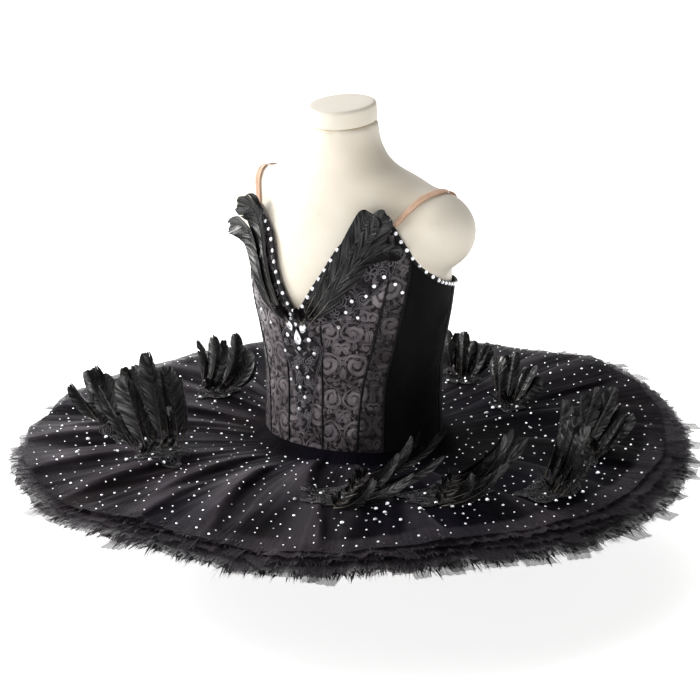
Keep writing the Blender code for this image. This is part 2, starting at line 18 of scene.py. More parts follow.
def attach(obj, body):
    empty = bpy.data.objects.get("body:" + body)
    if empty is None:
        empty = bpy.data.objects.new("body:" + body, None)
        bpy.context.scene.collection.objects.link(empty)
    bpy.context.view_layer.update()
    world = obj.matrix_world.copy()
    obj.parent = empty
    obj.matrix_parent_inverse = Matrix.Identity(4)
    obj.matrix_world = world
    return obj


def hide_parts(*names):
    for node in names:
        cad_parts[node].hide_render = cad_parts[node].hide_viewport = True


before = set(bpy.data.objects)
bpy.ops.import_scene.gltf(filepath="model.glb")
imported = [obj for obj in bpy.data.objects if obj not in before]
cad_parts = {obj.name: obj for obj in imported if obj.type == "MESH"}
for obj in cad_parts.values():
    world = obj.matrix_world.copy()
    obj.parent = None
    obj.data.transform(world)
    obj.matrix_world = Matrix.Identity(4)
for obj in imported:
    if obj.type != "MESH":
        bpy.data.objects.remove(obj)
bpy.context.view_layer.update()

# ------------------------------------------------------------- shared sizes
CLOTH_GAP = 0.0017
FORM_SLACK = 0.0009
CLOTH = 0.0015
SEAM = 0.0004
NET = 0.0012
PLATE_R = 0.366
PLATE_REACH = ((-62.0, 52.0, 0.0150), (14.0, 46.0, 0.0080))
SKIRT_R = 0.400
STRAP_W = 0.009
NECK_Z = 0.5045
NECK_TILT = 8.0
CAP_H = 0.0215
CAP_R = 0.0394
KNICKER_Z = 0.022
BASQUE_Z = 0.070

BODY = (
    # z      half_w  front   back    lean
    (0.000, 0.0700, 0.0600, 0.0600, 0.000),
    (0.022, 0.0820, 0.0690, 0.0710, 0.000),
    (0.050, 0.0945, 0.0780, 0.0840, 0.000),
    (0.090, 0.1040, 0.0860, 0.0945, 0.000),
    (0.135, 0.1065, 0.0885, 0.0925, 0.000),
    (0.206, 0.1055, 0.0880, 0.0865, 0.000),
    (0.240, 0.1085, 0.0905, 0.0875, 0.000),
    (0.270, 0.1140, 0.0960, 0.0900, 0.000),
    (0.300, 0.1195, 0.1015, 0.0925, 0.000),
    (0.325, 0.1225, 0.1030, 0.0935, 0.000),
    (0.350, 0.1235, 0.0990, 0.0930, 0.000),
    (0.375, 0.1220, 0.0915, 0.0905, -0.001),
    (0.395, 0.1190, 0.0835, 0.0865, -0.003),
    (0.412, 0.1165, 0.0745, 0.0785, -0.005),
    (0.426, 0.1140, 0.0650, 0.0690, -0.007),
    (0.437, 0.1080, 0.0570, 0.0600, -0.009),
    (0.446, 0.0930, 0.0490, 0.0510, -0.011),
    (0.458, 0.0660, 0.0405, 0.0410, -0.014),
    (0.470, 0.0525, 0.0385, 0.0385, -0.016),
    (0.485, 0.0440, 0.0380, 0.0380, -0.018),
    (0.5045, 0.0400, 0.0385, 0.0385, -0.020),
)
STUMP = {"x": 0.118, "y": -0.003, "z": 0.3930, "rx": 0.047, "ry": 0.040, "rz": 0.0450}
SEAMS = (
    # z     princess side_front side  side_back
    (0.130, 13.0, 34.5, 52.0, 104.0),
    (0.206, 13.0, 38.0, 53.0, 104.0),
    (0.270, 14.0, 45.0, 58.0, 104.0),
    (0.335, 17.0, 51.0, 63.0, 104.0),
    (0.410, 22.0, 57.0, 66.0, 104.0),
)
TOP_EDGE = (
    (0.0, 0.298), (5.0, 0.314), (13.3, 0.343), (23.5, 0.381), (34.0, 0.395),
    (45.0, 0.402), (52.0, 0.404), (59.0, 0.386), (67.0, 0.366), (78.0, 0.348),
    (90.0, 0.336), (104.0, 0.329), (120.0, 0.325), (150.0, 0.322), (180.0, 0.318),
)
LOW_EDGE = ((0.0, 0.1350), (13.0, 0.1365), (35.0, 0.1385), (60.0, 0.1395), (104.0, 0.1390), (180.0, 0.1380))
LAYERS = (
    # name             root_z  rim_z   radius  lobes  lobe_depth
    ("skirt_top_plate", 0.1290, 0.1360, PLATE_R, 7, 0.0008),
    ("skirt_layer_1", 0.1205, 0.1300, 0.381, 11, 0.0008),
    ("skirt_layer_2", 0.1120, 0.1242, 0.389, 9, 0.0008),
    ("skirt_layer_3", 0.1035, 0.1184, 0.395, 12, 0.0008),
    ("skirt_layer_4", 0.0950, 0.1126, SKIRT_R, 10, 0.0008),
    ("skirt_layer_5", 0.0865, 0.1066, 0.396, 8, 0.0008),
)
FRONT_SINK = (16.0, 58.0, 0.0085)
FOLDS = (
    (-158.0, 16.0, 0.0060), (-128.0, 26.0, 0.0140), (-98.0, 9.0, -0.0020),
    (-80.0, 9.0, 0.0040), (-62.0, 9.0, -0.0045), (-44.0, 10.0, 0.0050),
    (-20.0, 9.0, -0.0045), (2.0, 12.0, 0.0030), (28.0, 13.0, -0.0050),
    (55.0, 15.0, 0.0040), (82.0, 12.0, -0.0030), (118.0, 18.0, 0.0075),
    (158.0, 32.0, 0.0300),
)
SPRAYS = (
    # angle   r     heading  recline size
    (-150.0, 0.200, -170.0, 10.0, 0.55),
    (-93.0, 0.224, -140.0, 8.0, 0.62),
    (-50.0, 0.268, -120.0, 12.0, 0.80),
    (-31.0, 0.235, -100.0, 10.0, 0.92),
    (36.0, 0.235, 104.0, 34.0, 0.95),
    (60.0, 0.258, 118.0, 28.0, 0.95),
    (83.0, 0.300, 140.0, 16.0, 0.80),
    (106.0, 0.285, 160.0, 22.0, 0.62),
    (150.0, 0.200, 170.0, 10.0, 0.50),
    (-178.0, 0.228, 180.0, 6.0, 0.48),
)
BLADES = (
    # fan    lean  length  width
    (-42.0, 34.0, 0.096, 0.023),
    (-17.0, 24.0, 0.116, 0.025),
    (8.0, 21.0, 0.124, 0.026),
    (33.0, 28.0, 0.106, 0.023),
)


# ------------------------------------------------------------- body surface
def curve_at(rows, x, column):
    """Smooth value of a table's column at x (an array), in its first column."""
    t = np.array([row[0] for row in rows], float)
    y = np.array([row[column] for row in rows], float)
    h = np.diff(t)
    d = np.diff(y) / h
    m = np.empty(len(t))
    m[0], m[-1] = d[0], d[-1]
    a, b = d[:-1], d[1:]
    m[1:-1] = np.where(a * b > 0, 2 * a * b / np.where(a + b == 0, 1, a + b), 0.0)
    x = np.clip(np.asarray(x, float), t[0], t[-1])
    i = np.clip(np.searchsorted(t, x, side="right") - 1, 0, len(t) - 2)
    s = (x - t[i]) / h[i]
    return (
        (2 * s**3 - 3 * s**2 + 1) * y[i] + (s**3 - 2 * s**2 + s) * m[i] * h[i]
        + (-2 * s**3 + 3 * s**2) * y[i + 1] + (s**3 - s**2) * m[i + 1] * h[i]
    )


def unit(v):
    return v / np.maximum(np.linalg.norm(v, axis=-1, keepdims=True), 1e-12)


def raw_form(deg, z):
    half_w, front, back, lean = (curve_at(BODY, z, c) for c in (1, 2, 3, 4))
    a = np.radians(deg)
    depth = np.where(np.cos(a) >= 0, front, back)
    return np.stack([half_w * np.sin(a), lean - depth * np.cos(a), np.asarray(z, float) + 0 * a], -1)


def form_normal(deg, z):
    across = raw_form(deg + 0.5, z) - raw_form(deg - 0.5, z)
    up = raw_form(deg, z + 0.001) - raw_form(deg, z - 0.001)
    return unit(np.cross(across, up))


def on_form(deg, z, out=0.0):
    """Points of the form's side at an angle and a height, moved out by out."""
    deg, z, out = np.broadcast_arrays(*(np.asarray(v, float) for v in (deg, z, out)))
    return raw_form(deg, z) + form_normal(deg, z) * out[..., None]


def top_edge(deg):
    return curve_at(TOP_EDGE, np.abs(deg), 1)


def low_edge(deg):
    return curve_at(LOW_EDGE, np.abs(deg), 1)


def angle_of(p):
    """Body angle of points beside the form."""
    p = np.asarray(p, float)
    half_w, front, back, lean = (curve_at(BODY, p[..., 2], c) for c in (1, 2, 3, 4))
    y = p[..., 1] - lean
    return np.degrees(np.arctan2(p[..., 0] / half_w, -y / np.where(y <= 0, front, back)))


# ------------------------------------------------------------- skirt surface
def hip_radius(deg):
    p = on_form(deg, 0.11, CLOTH_GAP + CLOTH + 0.0012)
    return np.hypot(p[..., 0], p[..., 1])


def fold_height(deg):
    total = 0.0
    for middle, width, height in FOLDS:
        d = (deg - middle + 180.0) % 360.0 - 180.0
        total = total + height * np.exp(-((d / width) ** 2))
    return total


def rim_radius(layer, deg):
    name, root_z, rim_z, radius, lobes, depth = layer
    rim = radius + 0.003 * np.cos(np.radians(3 * deg + 40 + 11 * lobes)) - 0.0015
    if name == "skirt_top_plate":
        for middle, width, reach in PLATE_REACH:
            rim = rim + reach * np.exp(-((((deg - middle + 180.0) % 360.0 - 180.0) / width) ** 4))
    return rim


def layer_base(layer, share, deg):
    """Radius and height of a net layer's lower face; share is 0 at the basque and 1 at the rim."""
    name, root_z, rim_z, radius, lobes, depth = layer
    r0 = hip_radius(deg)
    r = r0 + (rim_radius(layer, deg) - r0) * share
    s = np.clip(share, 0, 1)
    z = root_z + (rim_z - root_z) * (1 - (1 - s) ** 1.6)
    z = z + 0.004 * np.sin(np.pi * s) * (1 - s)
    z = z + fold_height(deg) * np.maximum(share, 0) ** 1.5
    z = z + depth * np.cos(np.radians(lobes * deg)) * share
    # across the front the upper layers sink on to the ones below
    middle, width, drop = FRONT_SINK
    aside = (deg - middle + 180.0) % 360.0 - 180.0
    z = z - drop * (1 - LAYERS.index(layer) / 5) * np.exp(-((aside / width) ** 4)) * np.maximum(share, 0) ** 3
    return r, z


def ripple(deg, seed, low, high, count=9):
    """Smooth uneven wave round the body, from -1 to 1, that closes on itself."""
    rng = np.random.default_rng(seed)
    total, weight = 0.0, 0.0
    for n in rng.choice(np.arange(low, high + 1), size=min(count, high - low + 1), replace=False):
        w = rng.uniform(0.5, 1.0)
        total = total + w * np.cos(np.radians(n * deg) + rng.uniform(0, 2 * np.pi))
        weight += w * w
    return np.clip(total / (1.6 * math.sqrt(weight)), -1, 1)


# Soft creases of the top plate: angle, share where it is deepest, half width in
# degrees, half length as a share, height, and how far it curls round the body
CREASES = (
    # angle  share half_deg half_len height  curl
    (-72.0, 0.55, 2.6, 0.34, 0.0042, 9.0),
    (-66.0, 0.72, 1.8, 0.26, -0.0028, 7.0),
    (-57.0, 0.50, 2.2, 0.36, 0.0036, 10.0),
    (-47.0, 0.78, 2.4, 0.24, 0.0040, 5.0),
    (-41.0, 0.60, 1.6, 0.30, -0.0030, 6.0),
    (-33.0, 0.80, 2.2, 0.24, 0.0034, 4.0),
    (-22.0, 0.62, 2.4, 0.34, 0.0044, 8.0),
    (-15.0, 0.75, 1.8, 0.24, -0.0030, 6.0),
    (-8.0, 0.48, 2.8, 0.30, 0.0046, 10.0),
    (-1.0, 0.80, 2.0, 0.20, 0.0034, 5.0),
    (8.0, 0.58, 2.6, 0.34, 0.0052, 13.0),
    (15.0, 0.82, 2.2, 0.18, -0.0028, 5.0),
    (22.0, 0.30, 4.0, 0.24, 0.0058, 16.0),
    (31.0, 0.78, 2.4, 0.22, 0.0040, 7.0),
    (43.0, 0.34, 4.4, 0.26, 0.0052, 15.0),
    (52.0, 0.80, 2.2, 0.20, 0.0036, 6.0),
    (66.0, 0.42, 3.4, 0.28, 0.0038, 9.0),
    (74.0, 0.82, 2.0, 0.18, 0.0030, 4.0),
    (92.0, 0.60, 2.8, 0.34, 0.0034, -6.0),
    (103.0, 0.76, 2.0, 0.24, -0.0026, -4.0),
    (112.0, 0.58, 2.4, 0.34, 0.0036, -7.0),
    (124.0, 0.70, 2.2, 0.26, 0.0034, -5.0),
    (137.0, 0.52, 2.6, 0.36, 0.0040, -8.0),
    (149.0, 0.74, 2.0, 0.24, -0.0026, 4.0),
    (161.0, 0.60, 2.8, 0.34, 0.0042, 7.0),
    (174.0, 0.72, 2.2, 0.26, 0.0030, 5.0),
    (-171.0, 0.54, 2.6, 0.34, 0.0040, -8.0),
    (-159.0, 0.76, 2.0, 0.22, -0.0026, -5.0),
    (-149.0, 0.60, 2.4, 0.34, 0.0038, -6.0),
    (-136.0, 0.72, 2.4, 0.26, 0.0034, 5.0),
    (-124.0, 0.54, 2.6, 0.34, 0.0042, 8.0),
    (-112.0, 0.76, 2.0, 0.22, -0.0026, 5.0),
    (-101.0, 0.60, 2.4, 0.34, 0.0038, 7.0),
    (-88.0, 0.70, 2.2, 0.28, 0.0036, 6.0),
)


def crease_height(deg, share, edge=False):
    """Height of the plate's creases; with edge, a tone map of painted highlight along each crest and on its soft side,
    and painted shade in each groove.
    """
    total, crest = 0.0, 0.0
    for middle, at, half_deg, half_len, height, curl in CREASES:
        centre = middle + curl * (share - at)
        d = (deg - centre + 180.0) % 360.0 - 180.0
        # a steep side and a soft side, as net that is pushed over
        side = np.where(d > 0, half_deg * 0.42, half_deg * 2.1)
        fade = np.exp(-(((share - at) / half_len) ** 4))
        total = total + height * np.exp(-((d / side) ** 2)) * fade
        # painted highlight along each raised crease and on its soft side; painted shade in each groove
        if height > 0:
            line = np.exp(-((d / (half_deg * 0.16)) ** 2)) * 0.9
            soft = np.exp(-((d / side) ** 2)) * np.where(d > 0, 0.25, 0.55)
            crest = np.maximum(crest, (line + soft) * fade)
        else:
            crest = crest - 0.35 * np.exp(-((d / (half_deg * 0.8)) ** 2)) * fade
    return crest if edge else total


PLEATS = (
    # pleats  wobble  root_rise  rim_rise
    (118, 1.9, 0.0002, 0.0004),
    (83, 3.0, 0.0008, 0.0020),
    (71, 3.2, 0.0008, 0.0022),
    (90, 2.8, 0.0008, 0.0022),
    (77, 3.1, 0.0008, 0.0022),
    (86, 2.9, 0.0008, 0.0026),
)


def layer_surface(k, deg, share):
    """Points of net layer k as it is worn, pleats and creases included."""
    deg, share = np.broadcast_arrays(np.asarray(deg, float), np.asarray(share, float))
    r, z = layer_base(LAYERS[k], share, deg)
    pleats, wobble, root_rise, rim_rise = PLEATS[k]
    phase = np.radians(pleats * deg) + wobble * 3.0 * ripple(deg, 40 + k, 3, 29)
    phase = phase + 1.3 * share * ripple(deg, 60 + k, 5, 23)
    s = np.clip(share, 0, 1.1)
    rise = root_rise + (rim_rise - root_rise) * s**1.6
    rise = rise * (0.62 + 0.38 * ripple(deg, 80 + k, 7, 61, 13))
    wave = np.sin(phase + 0.55 * np.sin(phase))
    z = z + NET * 0.5 + rise * wave
    if k == 0:
        calm = np.clip((share - 0.02) / 0.08, 0, 1)
        z = z + crease_height(deg, share) * calm * 1.5
        # its cut edge is uneven, and sags a little
        r = r + 0.0034 * ripple(deg, 151, 5, 27, 9) * s**6
        z = z + 0.0016 * ripple(deg, 152, 7, 31, 11) * s**4
        z = z - 0.0022 * s**8
        z = z + 0.0105 * np.exp(-((s / 0.016) ** 2))
    else:
        z = z + 0.0008 * ripple(deg, 90 + k, 9, 37, 11) * s
        r = r + (0.0042 * ripple(deg, 140 + k, 3, 19) - 0.0012) * s**6
    swing = 0.35 * (rise / 0.0026) * np.cos(phase) * s
    a = np.radians(deg + swing)
    return np.stack([r * np.sin(a), -r * np.cos(a), z], -1)


def plate_share(x, y):
    deg = np.degrees(np.arctan2(x, -np.asarray(y, float)))
    r0 = hip_radius(deg)
    return deg, (np.hypot(x, y) - r0) / (rim_radius(LAYERS[0], deg) - r0)


def on_plate(x, y, up=0.0):
    """Points of the worn top plate above plan points, and its normals."""
    x, y = np.asarray(x, float), np.asarray(y, float)

    def z_at(px, py):
        deg, share = plate_share(px, py)
        return layer_surface(0, deg, np.clip(share, 0, 1))[..., 2]

    z = z_at(x, y)
    e = 0.0015
    dx = (z_at(x + e, y) - z_at(x - e, y)) / (2 * e)
    dy = (z_at(x, y + e) - z_at(x, y - e)) / (2 * e)
    normal = unit(np.stack([-dx, -dy, np.ones_like(dx)], -1))
    return np.stack([x, y, z], -1) + normal * up, normal


# ------------------------------------------------------------- mesh helpers
def grid_faces(rows, cols, closed=False):
    r = np.arange(rows - 1)[:, None]
    c = np.arange(cols if closed else cols - 1)[None, :]
    d = (c + 1) % cols
    return np.stack([r * cols + c, r * cols + d, (r + 1) * cols + d, (r + 1) * cols + c], -1).reshape(-1, 4)


def make(name, verts, faces, material, slot, uv=None, smooth=True, node=None, values=None):
    """A mesh object from arrays; faces is one array, or a list of arrays of equal-sided faces."""
    groups = faces if isinstance(faces, list) else [faces]
    groups = [np.asarray(g, np.int32) for g in groups if len(g)]
    mesh = bpy.data.meshes.new(name)
    verts = np.asarray(verts, np.float32).reshape(-1, 3)
    loops = np.concatenate([g.ravel() for g in groups])
    sides = np.concatenate([np.full(len(g), g.shape[1], np.int32) for g in groups])
    starts = np.concatenate([[0], np.cumsum(sides)[:-1]]).astype(np.int32)
    mesh.vertices.add(len(verts))
    mesh.vertices.foreach_set("co", verts.ravel())
    mesh.loops.add(len(loops))
    mesh.loops.foreach_set("vertex_index", loops)
    mesh.polygons.add(len(starts))
    mesh.polygons.foreach_set("loop_start", starts)
    if uv is not None:
        layer = mesh.uv_layers.new(name="cloth")
        layer.data.foreach_set("uv", np.asarray(uv, np.float32).reshape(-1, 2)[loops].ravel())
    if values is not None:
        for key, data in values.items():
            attribute = mesh.attributes.new(key, "FLOAT", "POINT")
            attribute.data.foreach_set("value", np.asarray(data, np.float32).ravel())
    mesh.update(calc_edges=True)
    mesh.validate()
    mesh.polygons.foreach_set("use_smooth", np.full(len(mesh.polygons), smooth))
    obj = bpy.data.objects.new(name, mesh)
    bpy.context.scene.collection.objects.link(obj)
    mesh.materials.append(material)
    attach(obj, "root")
    if node:
        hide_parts(*([node] if isinstance(node, str) else node))
    return obj


class Batch:
    """Collects many small meshes that become one object."""

    def __init__(self):
        self.verts, self.uv, self.faces, self.count = [], [], {}, 0

    def add(self, verts, faces, uv=None):
        verts = np.asarray(verts, float).reshape(-1, 3)
        self.verts.append(verts)
        self.uv.append(np.zeros((len(verts), 2)) if uv is None else np.asarray(uv, float).reshape(-1, 2))
        for group in faces if isinstance(faces, list) else [faces]:
            group = np.asarray(group)
            if len(group):
                self.faces.setdefault(group.shape[1], []).append(group + self.count)
        self.count += len(verts)

    def make(self, name, material, slot, smooth=True, node=None):
        return make(
            name, np.concatenate(self.verts), [np.concatenate(g) for g in self.faces.values()],
            material, slot, np.concatenate(self.uv), smooth, node,
        )


def frames_along(points, up):
    """Unit tangents and a steady pair of cross directions along a line of points."""
    tangent = unit(np.gradient(points, axis=0))
    up = np.broadcast_to(np.asarray(up, float), points.shape)
    side = unit(np.cross(tangent, up))
    return tangent, side, unit(np.cross(side, tangent))


def tube(batch, points, radius, sides=6, up=(0, 0, 1), flat=1.0, caps=True):
    """A round or flattened tube; flat squashes it along the up direction."""
    points = np.asarray(points, float)
    n = len(points)
    _, side, top = frames_along(points, up)
    radius = np.broadcast_to(np.asarray(radius, float), (n,))
    th = 2 * np.pi * np.arange(sides) / sides
    ring = (
        side[:, None, :] * np.cos(th)[None, :, None]
        + top[:, None, :] * (np.sin(th) * flat)[None, :, None]
    ) * radius[:, None, None]
    verts = (points[:, None, :] + ring).reshape(-1, 3)
    length = np.concatenate([[0], np.cumsum(np.linalg.norm(np.diff(points, axis=0), axis=1))])
    uv = np.stack([np.tile(np.arange(sides) / sides * 0.004, n), np.repeat(length, sides)], -1)
    faces = [grid_faces(n, sides, True)]
    if caps:
        faces.append(np.array([list(range(sides))[::-1]]))
        faces.append(np.array([list(range((n - 1) * sides, n * sides))]))
    batch.add(verts, faces, uv)


def resample(points, step):
    points = np.asarray(points, float)
    d = np.concatenate([[0], np.cumsum(np.linalg.norm(np.diff(points, axis=0), axis=1))])
    n = max(3, int(round(d[-1] / step)) + 1)
    t = np.linspace(0, d[-1], n)
    return np.stack([np.interp(t, d, points[:, i]) for i in range(points.shape[1])], -1)


def cut_size(rows, cols, verts, uv):
    """Width, length and area of a fitted panel laid flat, from its own grid and its place on the cloth."""
    p, q = np.asarray(verts).reshape(rows, cols, 3), np.asarray(uv).reshape(rows, cols, 2)

    def grown(axis, side):
        real = np.linalg.norm(np.diff(p, axis=axis), axis=-1).sum(axis)
        drawn = np.linalg.norm(np.diff(q, axis=axis), axis=-1).sum(axis)
        return float((real / drawn).mean()) * float(np.ptp(q[..., side]))

    a = np.linalg.norm(np.cross(p[1:, 1:] - p[:-1, :-1], p[1:, :-1] - p[:-1, 1:]), axis=-1).sum() / 2
    return grown(1, 0), grown(0, 1), float(a)


# ------------------------------------------------------------- camera, floor, light
def build_stage():
    scene = bpy.context.scene
    scene.view_settings.view_transform = "Standard"

    az, el, reach = math.radians(38.0), math.radians(15.7), 2.6
    back = Vector((math.sin(az) * math.cos(el), -math.cos(az) * math.cos(el), math.sin(el)))
    across = Vector((math.cos(az), math.sin(az), 0.0))
    target = Vector((0.0, 0.0, 0.233)) - across * 0.0045
    lens = bpy.data.cameras.new("camera")
    lens.sensor_width = 36.0
    lens.lens = 860.0 * reach / 700.0 * 36.0
    camera = bpy.data.objects.new("camera", lens)
    camera.location = target + back * reach
    camera.rotation_euler = (-back).to_track_quat("-Z", "Y").to_euler()
    scene.collection.objects.link(camera)
    scene.camera = camera

    world = bpy.data.worlds.new("studio")
    world.use_nodes = True
    nodes, links = world.node_tree.nodes, world.node_tree.links
    # a pale horizon all round, a wide soft window behind on the left, and a dim room elsewhere
    way = nodes.new("ShaderNodeTexCoord")
    split = nodes.new("ShaderNodeSeparateXYZ")
    links.new(way.outputs["Generated"], split.inputs[0])
    toward = nodes.new("ShaderNodeVectorMath")
    toward.operation = "DOT_PRODUCT"
    toward.inputs[1].default_value = Vector((-0.90, 0.04, 0.42)).normalized()
    links.new(way.outputs["Generated"], toward.inputs[0])
    window = nodes.new("ShaderNodeMapRange")
    window.interpolation_type = "SMOOTHSTEP"
    for socket, value in zip(("From Min", "From Max", "To Min", "To Max"), (0.10, 0.85, 0.06, 1.05)):
        window.inputs[socket].default_value = value
    links.new(toward.outputs["Value"], window.inputs["Value"])
    rise = nodes.new("ShaderNodeMapRange")
    rise.interpolation_type = "SMOOTHSTEP"
    for socket, value in zip(("From Min", "From Max", "To Min"), (0.05, 0.30, 1.0)):
        rise.inputs[socket].default_value = value
    links.new(split.outputs["Z"], rise.inputs["Value"])
    links.new(window.outputs[0], rise.inputs["To Max"])
    links.new(rise.outputs[0], nodes["Background"].inputs["Color"])
    nodes["Background"].inputs["Strength"].default_value = 1.0
    scene.world = world

    lights = (
        # name  location              size  power  colour
        ("key", (-1.25, -0.55, 0.80), 0.6, 14.5, (1.0, 0.985, 0.96)),
        ("rim", (-2.2, 1.4, 1.1), 1.0, 12.0, (1.0, 1.0, 1.0)),
        ("fill", (2.2, -2.6, 1.3), 1.8, 2.2, (1.0, 0.97, 0.93)),
        ("low", (-0.2, -3.4, 0.45), 1.6, 21.0, (1.0, 1.0, 1.0)),
    )
    for name, place, size, power, colour in lights:
        data = bpy.data.lights.new(name, "AREA")
        data.shape = "DISK"
        data.size = size
        data.energy = power
        data.color = colour
        light = bpy.data.objects.new(name, data)
        light.location = place
        light.rotation_euler = (Vector((0, 0, 0.22)) - Vector(place)).to_track_quat("-Z", "Y").to_euler()
        scene.collection.objects.link(light)
    sun = bpy.data.lights.new("sun", "SUN")
    sun.energy = 0.8
    sun.angle = math.radians(60)
    light = bpy.data.objects.new("sun", sun)
    light.rotation_euler = (-Vector((-1.5, 0.5, 2.4))).to_track_quat("-Z", "Y").to_euler()
    scene.collection.objects.link(light)

    look = Look("pale_floor", Roughness=0.85, Emission_Color=(1.0, 1.0, 0.995, 1), Emission_Strength=0.80)
    grain = look.noise(6.0, 4.0, look.position())
    look.link("Base Color", look.blend(grain, (0.90, 0.90, 0.89, 1), (0.94, 0.94, 0.93, 1)))
    rows = np.linspace(-14.0, 14.0, 15)
    x, y = np.meshgrid(rows, rows)
    floor = bpy.data.meshes.new("floor")
    floor.from_pydata(np.stack([x, y, np.full_like(x, -0.0006)], -1).reshape(-1, 3).tolist(), [], grid_faces(15, 15).tolist())
    obj = bpy.data.objects.new("floor", floor)
    floor.materials.append(look.material)
    scene.collection.objects.link(obj)
    return camera


# ------------------------------------------------------------- materials
class Value:
    """An output socket that can be added, multiplied and compared."""

    def __init__(self, look, socket):
        self.look, self.socket = look, socket

    def __add__(self, other):
        return self.look.math("ADD", self, other)

    def __radd__(self, other):
        return self.look.math("ADD", other, self)

    def __sub__(self, other):
        return self.look.math("SUBTRACT", self, other)

    def __rsub__(self, other):
        return self.look.math("SUBTRACT", other, self)

    def __mul__(self, other):
        return self.look.math("MULTIPLY", self, other)

    def __rmul__(self, other):
        return self.look.math("MULTIPLY", other, self)

    def __truediv__(self, other):
        return self.look.math("DIVIDE", self, other)

    def __abs__(self):
        return self.look.math("ABSOLUTE", self)


class Look:
    """A Principled material whose varying sockets are written as arithmetic."""

    def __init__(self, name, **sockets):
        self.material = bpy.data.materials.new(name)
        self.material.use_nodes = True
        self.tree = self.material.node_tree
        self.shader = self.tree.nodes["Principled BSDF"]
        for key, value in sockets.items():
            self.shader.inputs[key.replace("_", " ")].default_value = value

    def put(self, socket, value):
        value = value.socket if isinstance(value, Value) else value
        if isinstance(value, bpy.types.NodeSocket):
            self.tree.links.new(value, socket)
        else:
            socket.default_value = value

    def node(self, kind, out=0, inputs=(), **settings):
        node = self.tree.nodes.new(kind)
        for key, value in settings.items():
            setattr(node, key, value)
        for key, value in dict(inputs).items():
            self.put(node.inputs[key], value)
        return Value(self, node.outputs[out])

    def link(self, socket, value):
        self.put(self.shader.inputs[socket], value)

    def math(self, operation, *values):
        return self.node("ShaderNodeMath", inputs=enumerate(values), operation=operation)

    def peak(self, a, b):
        return self.math("MAXIMUM", a, b)

    def step(self, value, low, high, a=0.0, b=1.0):
        """Smooth rise from a to b as value goes from low to high."""
        return self.node(
            "ShaderNodeMapRange", interpolation_type="SMOOTHSTEP",
            inputs={0: value, 1: low, 2: high, 3: a, 4: b},
        )

    def blend(self, factor, a, b):
        return self.node("ShaderNodeMix", out=2, data_type="RGBA", inputs={0: factor, 6: a, 7: b})

    def position(self):
        return self.node("ShaderNodeTexCoord", out=3)

    def uv(self):
        return self.node("ShaderNodeTexCoord", out=2)

    def parts(self, vector):
        node = self.tree.nodes.new("ShaderNodeSeparateXYZ")
        self.put(node.inputs[0], vector)
        return [Value(self, output) for output in node.outputs]

    def joined(self, x, y, z=0.0):
        return self.node("ShaderNodeCombineXYZ", inputs={0: x, 1: y, 2: z})

    def scaled(self, vector, scale):
        return self.node("ShaderNodeVectorMath", operation="MULTIPLY", inputs={0: vector, 1: scale})

    def noise(self, scale, detail, vector, roughness=0.55):
        return self.node("ShaderNodeTexNoise", inputs={"Vector": vector, "Scale": scale, "Detail": detail, "Roughness": roughness})

    def cells(self, scale, vector):
        return self.node("ShaderNodeTexVoronoi", inputs={"Vector": vector, "Scale": scale})

    def attribute(self, name):
        return self.node("ShaderNodeAttribute", out=2, attribute_name=name)

    def bump(self, height, distance, strength=1.0, normal=None):
        inputs = {"Height": height, "Distance": distance, "Strength": strength}
        if normal is not None:
            inputs["Normal"] = normal
        return self.node("ShaderNodeBump", inputs=inputs)

    def threads(self, u, v, pitch):
        """Height of a plain weave: threads over and under each other."""
        a = self.math("SINE", u * (math.pi / pitch))
        b = self.math("SINE", v * (math.pi / pitch))
        return abs(a) * 0.5 + abs(b) * 0.5 + a * b * 0.35


def form_look(name):
    """Worn linen-smooth torso: warm ivory with faint mottling and a low gloss."""
    k = Look(name, Roughness=0.42, Coat_Weight=0.10, Coat_Roughness=0.30, Specular_IOR_Level=0.38)
    at = k.position()
    cloud = k.noise(9.0, 3.0, at)
    fine = k.noise(420.0, 3.0, at)
    speck = k.step(k.noise(160.0, 2.0, at, 0.8), 0.66, 0.74)
    colour = k.blend(k.step(cloud, 0.35, 0.68), (0.800, 0.715, 0.590, 1), (0.865, 0.805, 0.700, 1))
    colour = k.blend(speck * 0.18, colour, (0.55, 0.46, 0.34, 1))
    k.link("Base Color", colour)
    k.link("Roughness", k.step(cloud, 0.3, 0.7, 0.38, 0.52))
    k.link("Normal", k.bump(fine * 0.6 + cloud * 0.8, 0.0004, 0.35))
    return k.material


